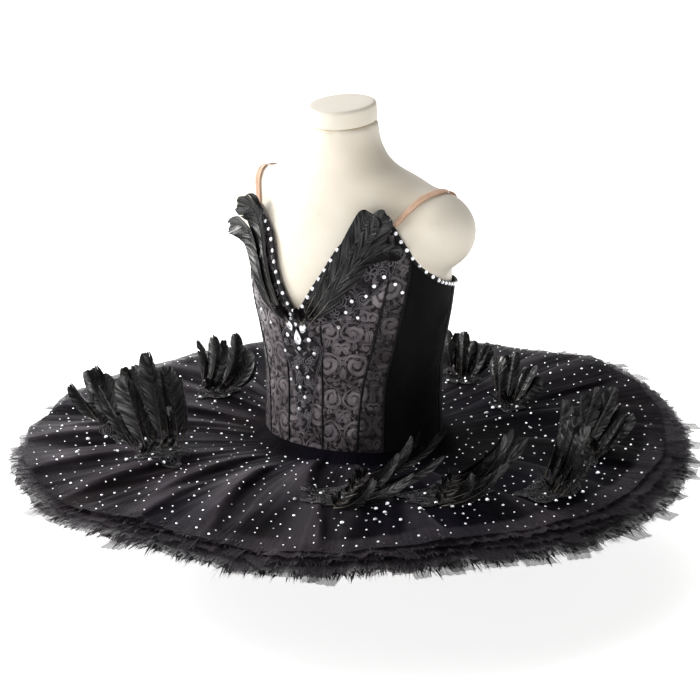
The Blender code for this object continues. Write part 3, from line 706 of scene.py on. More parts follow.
def brocade_look(name, strength=1.0):
    """Damask of scrolls and leaves: a satin figure on a dull ground, mirrored and half dropped."""
    k = Look(name, Sheen_Weight=0.07, Sheen_Roughness=0.35, Sheen_Tint=(0.85, 0.78, 0.86, 1), Specular_IOR_Level=0.52)
    wide, tall = 23.0, 62.0
    u, v, _ = k.parts(k.scaled(k.uv(), (1000.0, 1000.0, 1000.0)))
    # the figure is drawn a third larger than its own millimetres
    x, y = u * 0.76, v * 0.76
    sway = k.noise(0.075, 2.0, k.joined(x, y)) - 0.5
    across = k.math("PINGPONG", x + sway * 6.0, wide)
    up = y + sway * 9.0

    def local(cx, cy):
        return across - cx, k.math("WRAP", up - cy, tall / 2, -tall / 2)

    def scroll(cx, cy, radius, pitch, hand, turn, thick):
        dx, dy = local(cx, cy)
        r = k.math("SQRT", dx * dx + dy * dy)
        angle = k.math("ARCTAN2", dy, dx) * (hand / (2 * math.pi))
        arm = abs(k.math("FRACT", r / pitch - angle + turn) - 0.5)
        line = k.step(arm, thick * 0.55, thick, 1.0, 0.0)
        inside = k.step(r, radius * 0.93, radius, 1.0, 0.0)
        return k.peak(line * inside, k.step(r, pitch * 0.30, pitch * 0.46, 1.0, 0.0))

    def leaf(cx, cy, degrees, length, width):
        dx, dy = local(cx, cy)
        c, s = math.cos(math.radians(degrees)), math.sin(math.radians(degrees))
        along = dx * c + dy * s
        aside = dy * c - dx * s
        t = along * (1.0 / length)
        bend = aside - t * t * (width * 0.45)
        half = k.peak((1.12 - t) * width, 0.05)
        a, b = t * 2.0 - 1.0, bend / half
        body = k.step(a * a + b * b, 0.80, 1.0, 1.0, 0.0)
        vein = k.step(abs(bend), 0.14, 0.34, 1.0, 0.0)
        ribs = k.step(abs(k.math("FRACT", (along - abs(bend) * 0.9) * 0.62) - 0.5), 0.05, 0.17, 0.45, 0.0)
        return body * (1.0 - k.peak(vein * 0.8, ribs))

    scrolls = (
        # cx    cy    radius pitch hand turn  thick
        (12.2, 15.0, 11.0, 6.2, 1.0, 0.10, 0.40),
        (10.0, 45.5, 9.8, 5.6, -1.0, 0.35, 0.39),
        (19.6, 60.0, 5.4, 4.0, 1.0, 0.60, 0.37),
        (20.4, 31.0, 5.2, 3.8, -1.0, 0.20, 0.37),
        (3.4, 31.0, 4.6, 3.5, 1.0, 0.80, 0.37),
    )
    leaves = (
        # cx    cy    degrees length width
        (0.0, 0.5, 90.0, 14.0, 4.4),
        (23.0, 36.5, 90.0, 13.0, 4.2),
        (5.0, 24.6, 118.0, 11.0, 3.4),
        (22.0, 12.4, 52.0, 11.0, 3.2),
        (1.0, 60.0, 232.0, 9.6, 3.0),
        (16.4, 37.6, 132.0, 10.0, 3.1),
        (18.4, 51.0, 20.0, 8.6, 2.8),
        (4.0, 37.6, -62.0, 8.8, 2.7),
        (22.0, 23.6, 205.0, 8.8, 2.8),
        (1.6, 18.0, 60.0, 7.6, 2.6),
        (11.6, 31.0, 84.0, 7.4, 3.0),
        (9.0, 57.6, 160.0, 7.4, 2.6),
        (14.6, 0.8, 20.0, 7.0, 2.4),
    )
    figure = None
    for row in scrolls:
        shape = scroll(*row)
        figure = shape if figure is None else k.peak(figure, shape)
    for row in leaves:
        figure = k.peak(figure, leaf(*row))
    # the dull ground only shows as a dark line round each shape; farther out it is half lit
    patch = k.noise(0.19, 2.0, k.joined(u + 40.0, v))
    between = k.step(patch, 0.46, 0.54, 0.0, 0.50) * k.step(figure, 0.02, 0.10, 1.0, 0.0)
    figure = k.peak(figure, between)
    pearl = None
    for cx, cy, radius in ((0.0, 19.6, 1.3), (23.0, 51.6, 1.3), (7.2, 3.6, 1.0), (13.4, 28.4, 1.0), (14.2, 58.0, 1.0)):
        dx, dy = local(cx, cy)
        dot = k.step(k.math("SQRT", dx * dx + dy * dy), radius * 0.8, radius, 1.0, 0.0)
        pearl = dot if pearl is None else k.peak(pearl, dot)
    figure = k.peak(figure, pearl)

    at = k.position()
    worn = k.noise(38.0, 4.0, at)
    twill = abs(k.math("SINE", (u + v) * (math.pi / 0.9)))
    satin = abs(k.math("SINE", v * (math.pi / 0.55)))
    threads = k.threads(u, v, 0.5)
    ground = k.blend(k.step(worn, 0.3, 0.7), (0.0042, 0.0030, 0.0038, 1), (0.0105, 0.0080, 0.0100, 1))
    lit = k.blend(k.step(worn, 0.3, 0.72), (0.094, 0.0765, 0.0870, 1), (0.270, 0.234, 0.252, 1))
    lit = k.blend(satin * 0.22, lit, (0.020, 0.016, 0.020, 1))
    # a strength below 1 darkens the figure: a copy of the cloth with painted shade, for panels turned from the light
    lit = k.blend(strength, (0.010, 0.0075, 0.0095, 1), lit)
    ground = k.blend(twill * 0.35, ground, (0.024, 0.019, 0.023, 1))
    k.link("Base Color", k.blend(figure, ground, lit))
    k.link("Roughness", k.step(figure, 0.0, 1.0, 0.70, 0.31))
    k.link("Specular IOR Level", k.step(figure, 0.0, 1.0, 0.22, 0.56))
    height = figure * 1.0 + threads * 0.10 + worn * 0.25
    k.link("Normal", k.bump(height, 0.00034, 0.75))
    return k.material


def velvet_look(name):
    """Deep black stretch velvet: short pile, brushed in patches."""
    k = Look(name, Roughness=0.90, Sheen_Weight=0.16, Sheen_Roughness=0.28, Sheen_Tint=(0.55, 0.55, 0.60, 1), Specular_IOR_Level=0.12)
    at = k.position()
    pile = k.noise(2600.0, 2.0, at, 0.7)
    brushed = k.noise(16.0, 4.0, k.scaled(at, (1.0, 1.0, 0.45)))
    colour = k.blend(k.step(brushed, 0.35, 0.7), (0.0020, 0.0020, 0.0024, 1), (0.0058, 0.0056, 0.0064, 1))
    colour = k.blend(pile * 0.35, colour, (0.010, 0.010, 0.011, 1))
    k.link("Base Color", colour)
    k.link("Roughness", k.step(brushed, 0.3, 0.7, 0.92, 0.74))
    k.link("Normal", k.bump(pile + brushed * 3.0, 0.0005, 0.45))
    return k.material


def basque_look(name):
    """Matt black cotton-backed knit under the skirt."""
    k = Look(name, Roughness=0.80, Sheen_Weight=0.20, Sheen_Roughness=0.5, Specular_IOR_Level=0.3)
    u, v, _ = k.parts(k.scaled(k.uv(), (1000.0, 1000.0, 1000.0)))
    rows = abs(k.math("SINE", v * (math.pi / 0.9)))
    loops = abs(k.math("SINE", u * (math.pi / 0.9) + k.math("SINE", v * (math.pi / 0.9)) * 0.8))
    worn = k.noise(30.0, 3.0, k.position())
    colour = k.blend(rows * 0.5 + loops * 0.4, (0.006, 0.0055, 0.0065, 1), (0.020, 0.019, 0.022, 1))
    k.link("Base Color", k.blend(worn * 0.4, colour, (0.011, 0.010, 0.012, 1)))
    k.link("Roughness", k.step(worn, 0.3, 0.7, 0.72, 0.88))
    k.link("Normal", k.bump(rows + loops + worn, 0.0003, 0.6))
    return k.material


def net_look(name, inner, outer, light):
    """Stiff tulle: a fine diamond mesh, dense where it is gathered and clearer at its rim."""
    k = Look(name, Roughness=0.72, Sheen_Weight=0.05, Sheen_Roughness=0.34, Sheen_Tint=(0.86, 0.80, 0.92, 1), Specular_IOR_Level=0.12)
    u, v, _ = k.parts(k.scaled(k.uv(), (1000.0, 1000.0, 1000.0)))
    share, doubling_and_painted_light = k.attribute("share"), k.attribute("doubling_and_painted_light")
    first = abs(k.math("FRACT", (u + v) * 0.62) - 0.5)
    second = abs(k.math("FRACT", (u - v) * 0.62) - 0.5)
    mesh = k.peak(k.step(first, 0.30, 0.46), k.step(second, 0.30, 0.46))
    at = k.position()
    streak = k.noise(1.0, 4.0, k.joined(u * 0.30, v * 0.010))
    cloud = k.noise(11.0, 3.0, at)
    cover = k.step(share, 0.84, 1.02, inner, outer)
    cover = cover + (k.step(streak, 0.35, 0.7) - 0.5) * 0.22 * k.step(share, 0.80, 0.96)
    solid = k.math("MINIMUM", k.peak(cover + (1.0 - cover) * mesh * 0.75, 0.0), 1.0)
    k.link("Alpha", solid)
    # the tone map sets the colour: dark where the net is doubled and where shade is painted, greyer and faintly violet
    # where it is single and where light is painted
    dark = k.blend(k.step(cloud, 0.35, 0.68), (0.0020, 0.0015, 0.0023, 1), (0.0048, 0.0036, 0.0053, 1))
    pale = k.blend(k.step(cloud, 0.35, 0.68), (0.0220, 0.0160, 0.0222, 1), (0.0560, 0.0430, 0.0560, 1))
    tone = k.blend(k.step(doubling_and_painted_light, 0.0, 1.0), dark, pale)
    tone = k.blend(k.step(streak, 0.45, 0.85) * light, tone, (0.026, 0.0215, 0.027, 1))
    tint = k.noise(5.5, 2.0, k.scaled(at, (1.0, 1.0, 0.2)))
    tone = k.blend(k.step(tint, 0.50, 0.68) * 0.45, tone, (0.0085, 0.0080, 0.0170, 1))
    tone = k.blend(k.step(tint, 0.30, 0.44, 0.40, 0.0), tone, (0.0210, 0.0125, 0.0150, 1))
    k.link("Base Color", k.blend(mesh * 0.18, tone, (0.012, 0.0100, 0.013, 1)))
    k.link("Roughness", k.step(cloud, 0.3, 0.75, 0.78, 0.62))
    # doubled net swallows light; a single thickness glances it back. The same map dims sheen and reflection where it
    # paints shade.
    k.link("Sheen Weight", k.step(doubling_and_painted_light, 0.05, 0.60, 0.0, 0.07))
    k.link("Specular IOR Level", k.step(doubling_and_painted_light, 0.05, 0.60, 0.02, 0.16))
    k.link("Normal", k.bump(streak * 0.8 + mesh * 0.35, 0.0005, 0.35))
    return k.material


def fringe_look(name):
    k = Look(name, Roughness=0.7, Sheen_Weight=0.06, Sheen_Roughness=0.4, Specular_IOR_Level=0.15)
    tone = k.noise(120.0, 2.0, k.position())
    # the black threads are toned a mid grey: painted light, for the light that shows through the thin net at the rim
    k.link("Base Color", k.blend(k.step(tone, 0.3, 0.75), (0.0150, 0.0132, 0.0160, 1), (0.105, 0.096, 0.110, 1)))
    k.link("Roughness", k.step(tone, 0.3, 0.7, 0.6, 0.8))
    k.link("Normal", k.bump(tone, 0.0002, 0.4))
    return k.material


def lace_look(name, tone_share=1.0):
    """Raised cords and satin stitch of the appliqué, slightly shiny."""
    k = Look(name, Roughness=0.40, Sheen_Weight=0.10, Sheen_Roughness=0.3, Sheen_Tint=(0.8, 0.7, 0.85, 1), Specular_IOR_Level=0.75)
    u, v, _ = k.parts(k.scaled(k.uv(), (1000.0, 1000.0, 1000.0)))
    twist = abs(k.math("SINE", (v * 1.6 + u * 1.2) * math.pi))
    tone = k.noise(70.0, 3.0, k.position())
    base = k.blend(k.step(tone, 0.3, 0.7), (0.026, 0.022, 0.027, 1), (0.150, 0.132, 0.150, 1))
    base = k.blend(twist * 0.5, base, (0.30, 0.275, 0.305, 1))
    k.link("Base Color", k.blend(tone_share, (0.004, 0.0035, 0.0042, 1), base))
    k.link("Roughness", k.step(tone, 0.3, 0.7, 0.28, 0.44))
    k.link("Normal", k.bump(twist, 0.0002, 0.8))
    return k.material


def ground_look(name):
    """Fine net ground of the lace; the cloth under it shows through."""
    k = Look(name, Roughness=0.7, Sheen_Weight=0.2, Sheen_Roughness=0.4, Specular_IOR_Level=0.3)
    u, v, _ = k.parts(k.scaled(k.uv(), (1000.0, 1000.0, 1000.0)))
    first = abs(k.math("FRACT", (u + v) * 0.9) - 0.5)
    second = abs(k.math("FRACT", (u - v) * 0.9) - 0.5)
    mesh = k.peak(k.step(first, 0.28, 0.42), k.step(second, 0.28, 0.42))
    tone = k.noise(90.0, 2.0, k.position())
    k.link("Alpha", k.step(mesh, 0.0, 1.0, 0.34, 0.95))
    k.link("Base Color", k.blend(tone, (0.0035, 0.0030, 0.0040, 1), (0.010, 0.0085, 0.0110, 1)))
    k.link("Roughness", k.step(tone, 0.3, 0.7, 0.6, 0.8))
    k.link("Normal", k.bump(mesh, 0.0002, 0.6))
    return k.material


def strap_look(name):
    """Flesh elastic: fine lengthwise ribs and close cross threads."""
    k = Look(name, Roughness=0.46, Sheen_Weight=0.12, Sheen_Roughness=0.4, Specular_IOR_Level=0.45)
    u, v, _ = k.parts(k.scaled(k.uv(), (1000.0, 1000.0, 1000.0)))
    ribs = abs(k.math("SINE", u * (math.pi / 0.9)))
    cross = abs(k.math("SINE", v * (math.pi / 0.45)))
    tone = k.noise(60.0, 3.0, k.position())
    base = k.blend(k.step(tone, 0.3, 0.7), (0.760, 0.480, 0.320, 1), (0.860, 0.600, 0.430, 1))
    k.link("Base Color", k.blend((1.0 - ribs) * 0.35, base, (0.56, 0.31, 0.19, 1)))
    k.link("Roughness", k.step(tone, 0.3, 0.7, 0.40, 0.55))
    k.link("Normal", k.bump(ribs + cross * 0.4, 0.0003, 0.7))
    return k.material


def binding_look(name):
    """Narrow black braid that finishes the top edge."""
    k = Look(name, Roughness=0.6, Sheen_Weight=0.06, Sheen_Roughness=0.3, Specular_IOR_Level=0.25)
    u, v, _ = k.parts(k.scaled(k.uv(), (1000.0, 1000.0, 1000.0)))
    plait = abs(k.math("SINE", (v * 0.62 + abs(u - 2.0) * 0.55) * math.pi))
    tone = k.noise(80.0, 3.0, k.position())
    base = k.blend(k.step(tone, 0.3, 0.7), (0.003, 0.0028, 0.0034, 1), (0.008, 0.0074, 0.0088, 1))
    k.link("Base Color", k.blend(plait * 0.4, base, (0.020, 0.018, 0.021, 1)))
    k.link("Roughness", k.step(plait, 0.0, 1.0, 0.65, 0.42))
    k.link("Normal", k.bump(plait, 0.0005, 0.8))
    return k.material


def feather_look(name, shine=1.0, depth=1.0):
    """Glossy black vane: barbs run across, with a bloom that shifts along the feather."""
    k = Look(name, Roughness=0.30, Sheen_Weight=0.02, Sheen_Roughness=0.3, Specular_IOR_Level=0.50, Coat_Weight=0.28 * shine, Coat_Roughness=0.20)
    u, v, _ = k.parts(k.uv())
    at = k.position()
    tone = k.noise(26.0, 3.0, at)
    each = k.noise(1.0, 0.0, k.joined(u * 0.11, 0.0))
    barb = k.noise(1.0, 2.0, k.joined(u * 44.0, v * 1.6))
    clump = k.noise(1.0, 1.0, k.joined(u * 8.0, v * 0.9))
    base = k.blend(k.step(tone, 0.32, 0.70), (0.0016, 0.0014, 0.0017, 1), (0.0052, 0.0046, 0.0052, 1))
    # some feathers are a warm grey along some barbs: painted light, for the brown that light shows through a thin vane
    base = k.blend(k.step(each, 0.52, 0.66) * k.step(barb, 0.2, 0.8, 0.45, 1.0), base, (0.0150, 0.0125, 0.0122, 1))
    k.link("Base Color", k.blend(k.step(barb, 0.45, 0.8) * k.step(clump, 0.35, 0.65) * 0.55 * depth, base, (0.026, 0.0235, 0.0250, 1)))
    k.link("Roughness", k.step(clump, 0.30, 0.70, 0.20, 0.56))
    k.link("Specular IOR Level", k.step(clump, 0.30, 0.70, 0.70 * shine, 0.14 * shine))
    k.link("Coat Weight", k.step(clump, 0.34, 0.62, 0.42 * shine, 0.05 * shine))
    k.link("Normal", k.bump(barb * 0.5 + clump * 1.2, 0.0007, 0.55))
    return k.material


def quill_look(name):
    k = Look(name, Roughness=0.35, Specular_IOR_Level=0.55)
    _, v, _ = k.parts(k.uv())
    tone = k.noise(90.0, 3.0, k.position())
    base = k.blend(k.step(v, 0.1, 0.75), (0.150, 0.128, 0.108, 1), (0.030, 0.026, 0.024, 1))
    k.link("Base Color", k.blend(tone * 0.5, base, (0.075, 0.064, 0.054, 1)))
    k.link("Roughness", k.step(tone, 0.3, 0.7, 0.28, 0.45))
    k.link("Normal", k.bump(tone, 0.0002, 0.4))
    return k.material


def stone_look(name):
    """Foiled glass stones: each face mirrors a little differently, and a glow, faint all over and bright in patches,
    paints glints on them.
    """
    k = Look(name, Roughness=0.10, Metallic=0.55, Specular_IOR_Level=0.9, Coat_Weight=0.6, Coat_Roughness=0.03, Emission_Color=(0.95, 0.97, 1.0, 1), Emission_Strength=0.22)
    at = k.position()
    tint = k.cells(900.0, at)
    tone = k.noise(700.0, 1.0, at)
    k.link("Base Color", k.blend(k.step(tone, 0.40, 0.60), (0.96, 0.96, 0.98, 1), (0.74, 0.75, 0.82, 1)))
    k.link("Roughness", k.step(tint, 0.2, 0.9, 0.06, 0.20))
    k.link("Normal", k.bump(tone, 0.0002, 0.5))
    # painted glints: the stones glow, faintly all over and brightly in patches
    painted_glint = k.noise(230.0, 1.0, at)
    k.link("Emission Strength", k.step(painted_glint, 0.36, 0.62, 0.10, 0.95))
    return k.material


def silver_look(name):
    k = Look(name, Roughness=0.28, Metallic=1.0)
    tone = k.noise(400.0, 2.0, k.position())
    k.link("Base Color", k.blend(tone, (0.34, 0.34, 0.35, 1), (0.62, 0.62, 0.63, 1)))
    k.link("Roughness", k.step(tone, 0.3, 0.7, 0.20, 0.42))
    k.link("Normal", k.bump(tone, 0.0001, 0.4))
    return k.material


# ------------------------------------------------------------- the form
def form_field(p):
    """Rough signed distance to the torso and its rounded arm stumps, softly joined."""
    half_w, front, back, lean = (curve_at(BODY, p[:, 2], c) for c in (1, 2, 3, 4))
    y = p[:, 1] - lean
    slack = np.where((p[:, 2] > 0.02) & (p[:, 2] < 0.44), FORM_SLACK, 0.0)
    depth = np.where(y <= 0, front, back) - slack
    half_w = half_w - slack
    torso = (np.sqrt((p[:, 0] / half_w) ** 2 + (y / depth) ** 2 + 1e-9) - 1) * 0.09
    q = np.stack([
        (np.abs(p[:, 0]) - STUMP["x"]) / STUMP["rx"],
        (p[:, 1] - STUMP["y"]) / STUMP["ry"],
        (p[:, 2] - STUMP["z"]) / STUMP["rz"],
    ], -1)
    stump = (np.linalg.norm(q, axis=1) - 1) * 0.044
    k = 0.020
    h = np.clip(0.5 + 0.5 * (stump - torso) / k, 0, 1)
    return stump * (1 - h) + torso * h - k * h * (1 - h)


def smoothed(co, edges, rounds, amount, hold=None):
    """Averages each vertex with its neighbours a few times."""
    n = len(co)
    degree = np.bincount(edges.ravel(), minlength=n)[:, None].clip(1)
    for _ in range(rounds):
        total = np.zeros_like(co)
        for axis in range(3):
            total[:, axis] = np.bincount(edges[:, 0], co[edges[:, 1], axis], n) + np.bincount(edges[:, 1], co[edges[:, 0], axis], n)
        step = (total / degree - co) * amount
        if hold is not None:
            step = step * hold[:, None]
        co = co + step
    return co


def build_form():
    around, heights = 96, np.linspace(0.0, NECK_Z, 130)
    deg = np.linspace(0, 360, around, endpoint=False)
    z, d = np.meshgrid(heights, deg, indexing="ij")
    slack = np.where((z > 0.02) & (z < 0.44), FORM_SLACK, 0.0)
    verts = on_form(d, z, -slack).reshape(-1, 3)
    top = verts[-around:]
    top[:, 2] = NECK_Z + (top[:, 1] - BODY[-1][4]) * math.tan(math.radians(NECK_TILT))
    bm = bmesh.new()
    points = [bm.verts.new(v) for v in verts]
    for quad in grid_faces(len(heights), around, True):
        bm.faces.new([points[i] for i in quad])
    bm.faces.new(points[:around][::-1])
    bm.faces.new(points[-around:])
    for side in (-1, 1):
        made = bmesh.ops.create_uvsphere(bm, u_segments=40, v_segments=24, radius=1.0)["verts"]
        for v in made:
            x, y, h = v.co
            v.co = (
                side * STUMP["x"] + h * STUMP["rx"],
                STUMP["y"] + y * STUMP["ry"],
                STUMP["z"] - x * STUMP["rz"],
            )
    rough = bpy.data.meshes.new("form_rough")
    bm.to_mesh(rough)
    bm.free()
    temp = bpy.data.objects.new("form_rough", rough)
    bpy.context.scene.collection.objects.link(temp)
    remesh = temp.modifiers.new("Remesh", "REMESH")
    remesh.mode = "VOXEL"
    remesh.voxel_size = 0.0040
    done = temp.evaluated_get(bpy.context.evaluated_depsgraph_get())
    mesh = bpy.data.meshes.new_from_object(done)
    bpy.data.objects.remove(temp)

    co = np.empty(len(mesh.vertices) * 3)
    mesh.vertices.foreach_get("co", co)
    co = co.reshape(-1, 3)
    edges = np.empty(len(mesh.edges) * 2, np.int64)
    mesh.edges.foreach_get("vertices", edges)
    edges = edges.reshape(-1, 2)
    neck = NECK_Z + (co[:, 1] - BODY[-1][4]) * math.tan(math.radians(NECK_TILT))
    free = np.clip((co[:, 2] - 0.004) / 0.004, 0, 1) * np.clip((neck - 0.006 - co[:, 2]) / 0.006, 0, 1)
    for _ in range(7):
        value = form_field(co)
        grad = np.stack([
            (form_field(co + step) - form_field(co - step)) / 0.0008 for step in 0.0004 * np.eye(3)
        ], -1)
        move = value[:, None] * grad / np.maximum((grad**2).sum(1, keepdims=True), 0.05)
        length = np.linalg.norm(move, axis=1, keepdims=True)
        co = co - move * np.minimum(1.0, 0.0025 / np.maximum(length, 1e-9)) * free[:, None]
        co = smoothed(co, edges, 1, 0.25, free)
    co = smoothed(co, edges, 6, 0.5, free)
    shoulder = np.clip((co[:, 2] - 0.405) / 0.02, 0, 1) * np.clip((0.492 - co[:, 2]) / 0.01, 0, 1)
    co = smoothed(co, edges, 14, 0.5, shoulder)
    co[:, 2] = np.where(co[:, 2] < 0.0018, 0.0, co[:, 2])
    mesh.vertices.foreach_set("co", co.astype(np.float32).ravel())
    mesh.update()
    mesh.materials.clear()
    mesh.materials.append(form_look("form_finish"))
    mesh.shade_smooth()
    obj = bpy.data.objects.new("form_body", mesh)
    bpy.context.scene.collection.objects.link(obj)
    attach(obj, "root")
    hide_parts("form_torso")

    # the turned cap: a soft edge all round and a slightly crowned top
    profile = [(0.0, 0.0), (0.036, 0.0)]
    for i in range(7):
        a = math.radians(-90 + 15 * i)
        profile.append((CAP_R - 0.0030 + 0.0030 * math.cos(a), 0.0030 + 0.0030 * math.sin(a)))
    for i in range(9):
        a = math.radians(90 * i / 8)
        profile.append((CAP_R - 0.0042 + 0.0042 * math.cos(a), CAP_H - 0.0046 + 0.0042 * math.sin(a)))
    for r in (0.030, 0.022, 0.013, 0.005, 0.0):
        profile.append((r, CAP_H - 0.0004 + 0.0004 * (1 - (r / CAP_R) ** 2)))
    turns = 96
    th = 2 * np.pi * np.arange(turns) / turns
    pr = np.array(profile)
    ring = np.stack([
        pr[:, 0, None] * np.cos(th), pr[:, 0, None] * np.sin(th), pr[:, 1, None] + 0 * th,
    ], -1)
    tilt = math.radians(NECK_TILT)
    x, y, h = ring[..., 0], ring[..., 1], ring[..., 2] + 0.0004
    verts = np.stack([
        x,
        BODY[-1][4] + y * math.cos(tilt) - h * math.sin(tilt),
        NECK_Z + y * math.sin(tilt) + h * math.cos(tilt),
    ], -1)
    cap = make("form_cap", verts, grid_faces(len(profile), turns, True), form_look("cap_finish"), "form_ivory", node="form_neck_cap")
    bm = bmesh.new()
    bm.from_mesh(cap.data)
    bmesh.ops.remove_doubles(bm, verts=bm.verts, dist=0.00001)
    bmesh.ops.recalc_face_normals(bm, faces=bm.faces)
    bm.to_mesh(cap.data)
    bm.free()
    cap.data.shade_smooth()
    return obj


# ------------------------------------------------------------- bodice cloth
# Soft creases of the bodice: angle, height, length, width, turn from level, depth
BODICE_CREASES = (
    (-30.0, 0.200, 0.040, 0.0050, 12.0, 0.0008),
    (-9.0, 0.164, 0.032, 0.0040, -8.0, 0.0007),
    (7.0, 0.222, 0.026, 0.0038, 14.0, -0.0006),
    (16.0, 0.183, 0.036, 0.0044, -16.0, 0.0008),
    (25.0, 0.250, 0.030, 0.0050, 24.0, -0.0007),
    (29.0, 0.158, 0.030, 0.0040, 8.0, 0.0007),
    (33.0, 0.214, 0.034, 0.0046, -20.0, -0.0007),
    (44.0, 0.190, 0.034, 0.0052, 18.0, 0.0009),
    (47.0, 0.246, 0.030, 0.0050, -12.0, -0.0007),
    (61.0, 0.212, 0.046, 0.0060, 20.0, 0.0011),
    (66.0, 0.300, 0.040, 0.0062, 58.0, -0.0009),
    (72.0, 0.172, 0.042, 0.0056, -10.0, 0.0009),
    (82.0, 0.232, 0.050, 0.0064, 12.0, 0.0011),
    (88.0, 0.196, 0.040, 0.0054, -16.0, -0.0009),
    (97.0, 0.290, 0.046, 0.0060, 40.0, 0.0008),
    (112.0, 0.210, 0.048, 0.0060, 14.0, 0.0010),
    (122.0, 0.250, 0.040, 0.0056, -22.0, -0.0008),
    (134.0, 0.180, 0.044, 0.0056, 8.0, 0.0010),
    (150.0, 0.224, 0.046, 0.0060, -12.0, 0.0010),
    (163.0, 0.196, 0.036, 0.0050, 16.0, -0.0008),
    (170.0, 0.264, 0.034, 0.0050, -30.0, 0.0007),
    (-44.0, 0.226, 0.032, 0.0050, -14.0, 0.0008),
    (-58.0, 0.186, 0.040, 0.0056, 16.0, 0.0010),
    (-70.0, 0.240, 0.048, 0.0060, -18.0, 0.0010),
    (-84.0, 0.206, 0.044, 0.0056, 10.0, -0.0009),
    (-95.0, 0.278, 0.046, 0.0060, -36.0, 0.0009),
    (-110.0, 0.192, 0.046, 0.0058, -10.0, 0.0010),
    (-126.0, 0.236, 0.044, 0.0058, 20.0, -0.0008),
    (-142.0, 0.204, 0.048, 0.0060, -14.0, 0.0010),
    (-158.0, 0.250, 0.038, 0.0052, 24.0, 0.0008),
    (-170.0, 0.176, 0.036, 0.0050, -8.0, -0.0007),
)


def bodice_crease(deg, z):
    total = 0.0
    for at, height, length, width, turn, depth in BODICE_CREASES:
        du = np.radians((deg - at + 180) % 360 - 180) * 0.108
        dz = z - height
        c, s = math.cos(math.radians(turn)), math.sin(math.radians(turn))
        along, aside = du * c + dz * s, dz * c - du * s
        aside = aside - along * along * 3.0
        total = total + depth * np.exp(-((aside / width) ** 2)) * np.exp(-((along / (length / 2)) ** 4))
    return total


def seam_at(column, side):
    """The angle of a seam at a height, on one side of the body."""
    if column == 0:
        return lambda z: np.full_like(np.asarray(z, float), 180.0 * side)
    return lambda z: side * curve_at(SEAMS, z, column)


PANELS = (
    # stem                first last  cloth      across  up  offset_u offset_v
    ("bodice_front_centre", 1, 1, "brocade", 46, 92, 0.0, 0.004),
    ("bodice_princess_", 1, 2, "brocade", 36, 122, 0.0113, 0.021),
    ("bodice_side_front_", 2, 3, "brocade", 26, 122, 0.0047, 0.012),
    ("bodice_side_", 3, 4, "velvet", 44, 100, 0.0, 0.0),
    ("bodice_back_", 4, 0, "velvet", 54, 86, 0.0, 0.0),
)
CUTS = {}


def bodice_panel(name, first, last, material, slot, across, up, offset):
    v, u = np.meshgrid(np.linspace(0, 1, up), np.linspace(0, 1, across), indexing="ij")
    gap = math.degrees(SEAM / 2 / 0.105)
    z = np.full_like(u, 0.2)
    for _ in range(30):
        low, high = first(z) + gap, last(z) - gap
        deg = low + (high - low) * u
        want = low_edge(deg) + (top_edge(deg) - low_edge(deg)) * v
        z = z + (want - z) * 0.6
    reach = np.radians(np.abs(high - low)) * 0.108
    side = np.minimum(u, 1 - u) * reach
    out = CLOTH_GAP + bodice_crease(deg, z)
    # each seam sinks a little, with the pull of its stitches beside it
    out = out - 0.0010 * np.exp(-((side / 0.0018) ** 2))
    pull = 0.5 + 0.5 * np.sin(2 * np.pi * z / 0.0085 + 2.2 * np.sin(z * 210.0))
    out = out + 0.00060 * pull * np.exp(-(((side - 0.004) / 0.004) ** 2))
    # and the turned lower edge is a touch fuller
    out = out + 0.0004 * np.exp(-(((z - low_edge(deg) - 0.003) / 0.0025) ** 2))
    verts = on_form(deg, z, out)
    uv = np.stack([np.radians(deg) * 0.108 + offset[0] * (1 if deg.mean() > 0 else -1), z + offset[1]], -1)
    faces = grid_faces(up, across)
    obj = make(name + "_cloth", verts, faces, material, slot, uv, node=name)
    shell = obj.modifiers.new("Solidify", "SOLIDIFY")
    shell.thickness = CLOTH
    shell.offset = 1.0
    shell.use_rim = True
    CUTS[obj.name] = cut_size(up, across, verts, uv)
    return obj


def build_bodice():
    cloths = {"brocade": brocade_look("brocade_cloth"), "velvet": velvet_look("velvet_cloth")}
    # the side front panels get the darker copy of the brocade: painted shade where they turn from the light
    deep = brocade_look("brocade_painted_shade", 0.36)
    panels = []
    for stem, a, b, cloth, across, up, du, dv in PANELS:
        if a == b:
            panels.append(bodice_panel(stem, seam_at(a, -1), seam_at(b, 1), cloths[cloth], cloth, across, up, (du, dv)))
            continue
        for side, word in ((1, "left"), (-1, "right")):
            first, last = seam_at(a, side), seam_at(b, side)
            if side < 0:
                first, last = last, first
            look = deep if stem == "bodice_side_front_" else cloths[cloth]
            panels.append(bodice_panel(stem + word, first, last, look, cloth, across, up, (du, dv)))
    return panels


def build_seam_cords():
    """Thin piping that fills each seam of the front, with the stitches that hold it."""
    look = binding_look("seam_piping")
    batch = Batch()
    for column in (1, 2, 3):
        for side in (1, -1):
            z = np.linspace(0.20, 0.34, 60)
            for _ in range(20):
                deg = seam_at(column, side)(z)
                low, high = low_edge(deg), top_edge(deg)
                z = low + 0.0012 + (high - low - 0.0050) * np.linspace(0, 1, 60)
            deg = seam_at(column, side)(z)
            line = resample(on_form(deg, z, CLOTH_GAP + CLOTH + 0.0001), 0.0022)
            up = form_normal(angle_of(line), line[:, 2])
            n = len(line)
            tube(batch, line, 0.00105 * (1 + 0.10 * np.sin(np.arange(n) * 2.1)), 8, up)
            tangent, across, _ = frames_along(line, up)
            for i in range(1, n - 1, 2):
                a = line[i] - across[i] * 0.0021 + up[i] * 0.0002
                b = line[i] + across[i] * 0.0021 + up[i] * 0.0002
                m = line[i] + up[i] * 0.0013 + tangent[i] * 0.0004
                tube(batch, np.array([a, m, b]), 0.00022, 4, up[i])
    return batch.make("bodice_seam_piping", look, "edging")


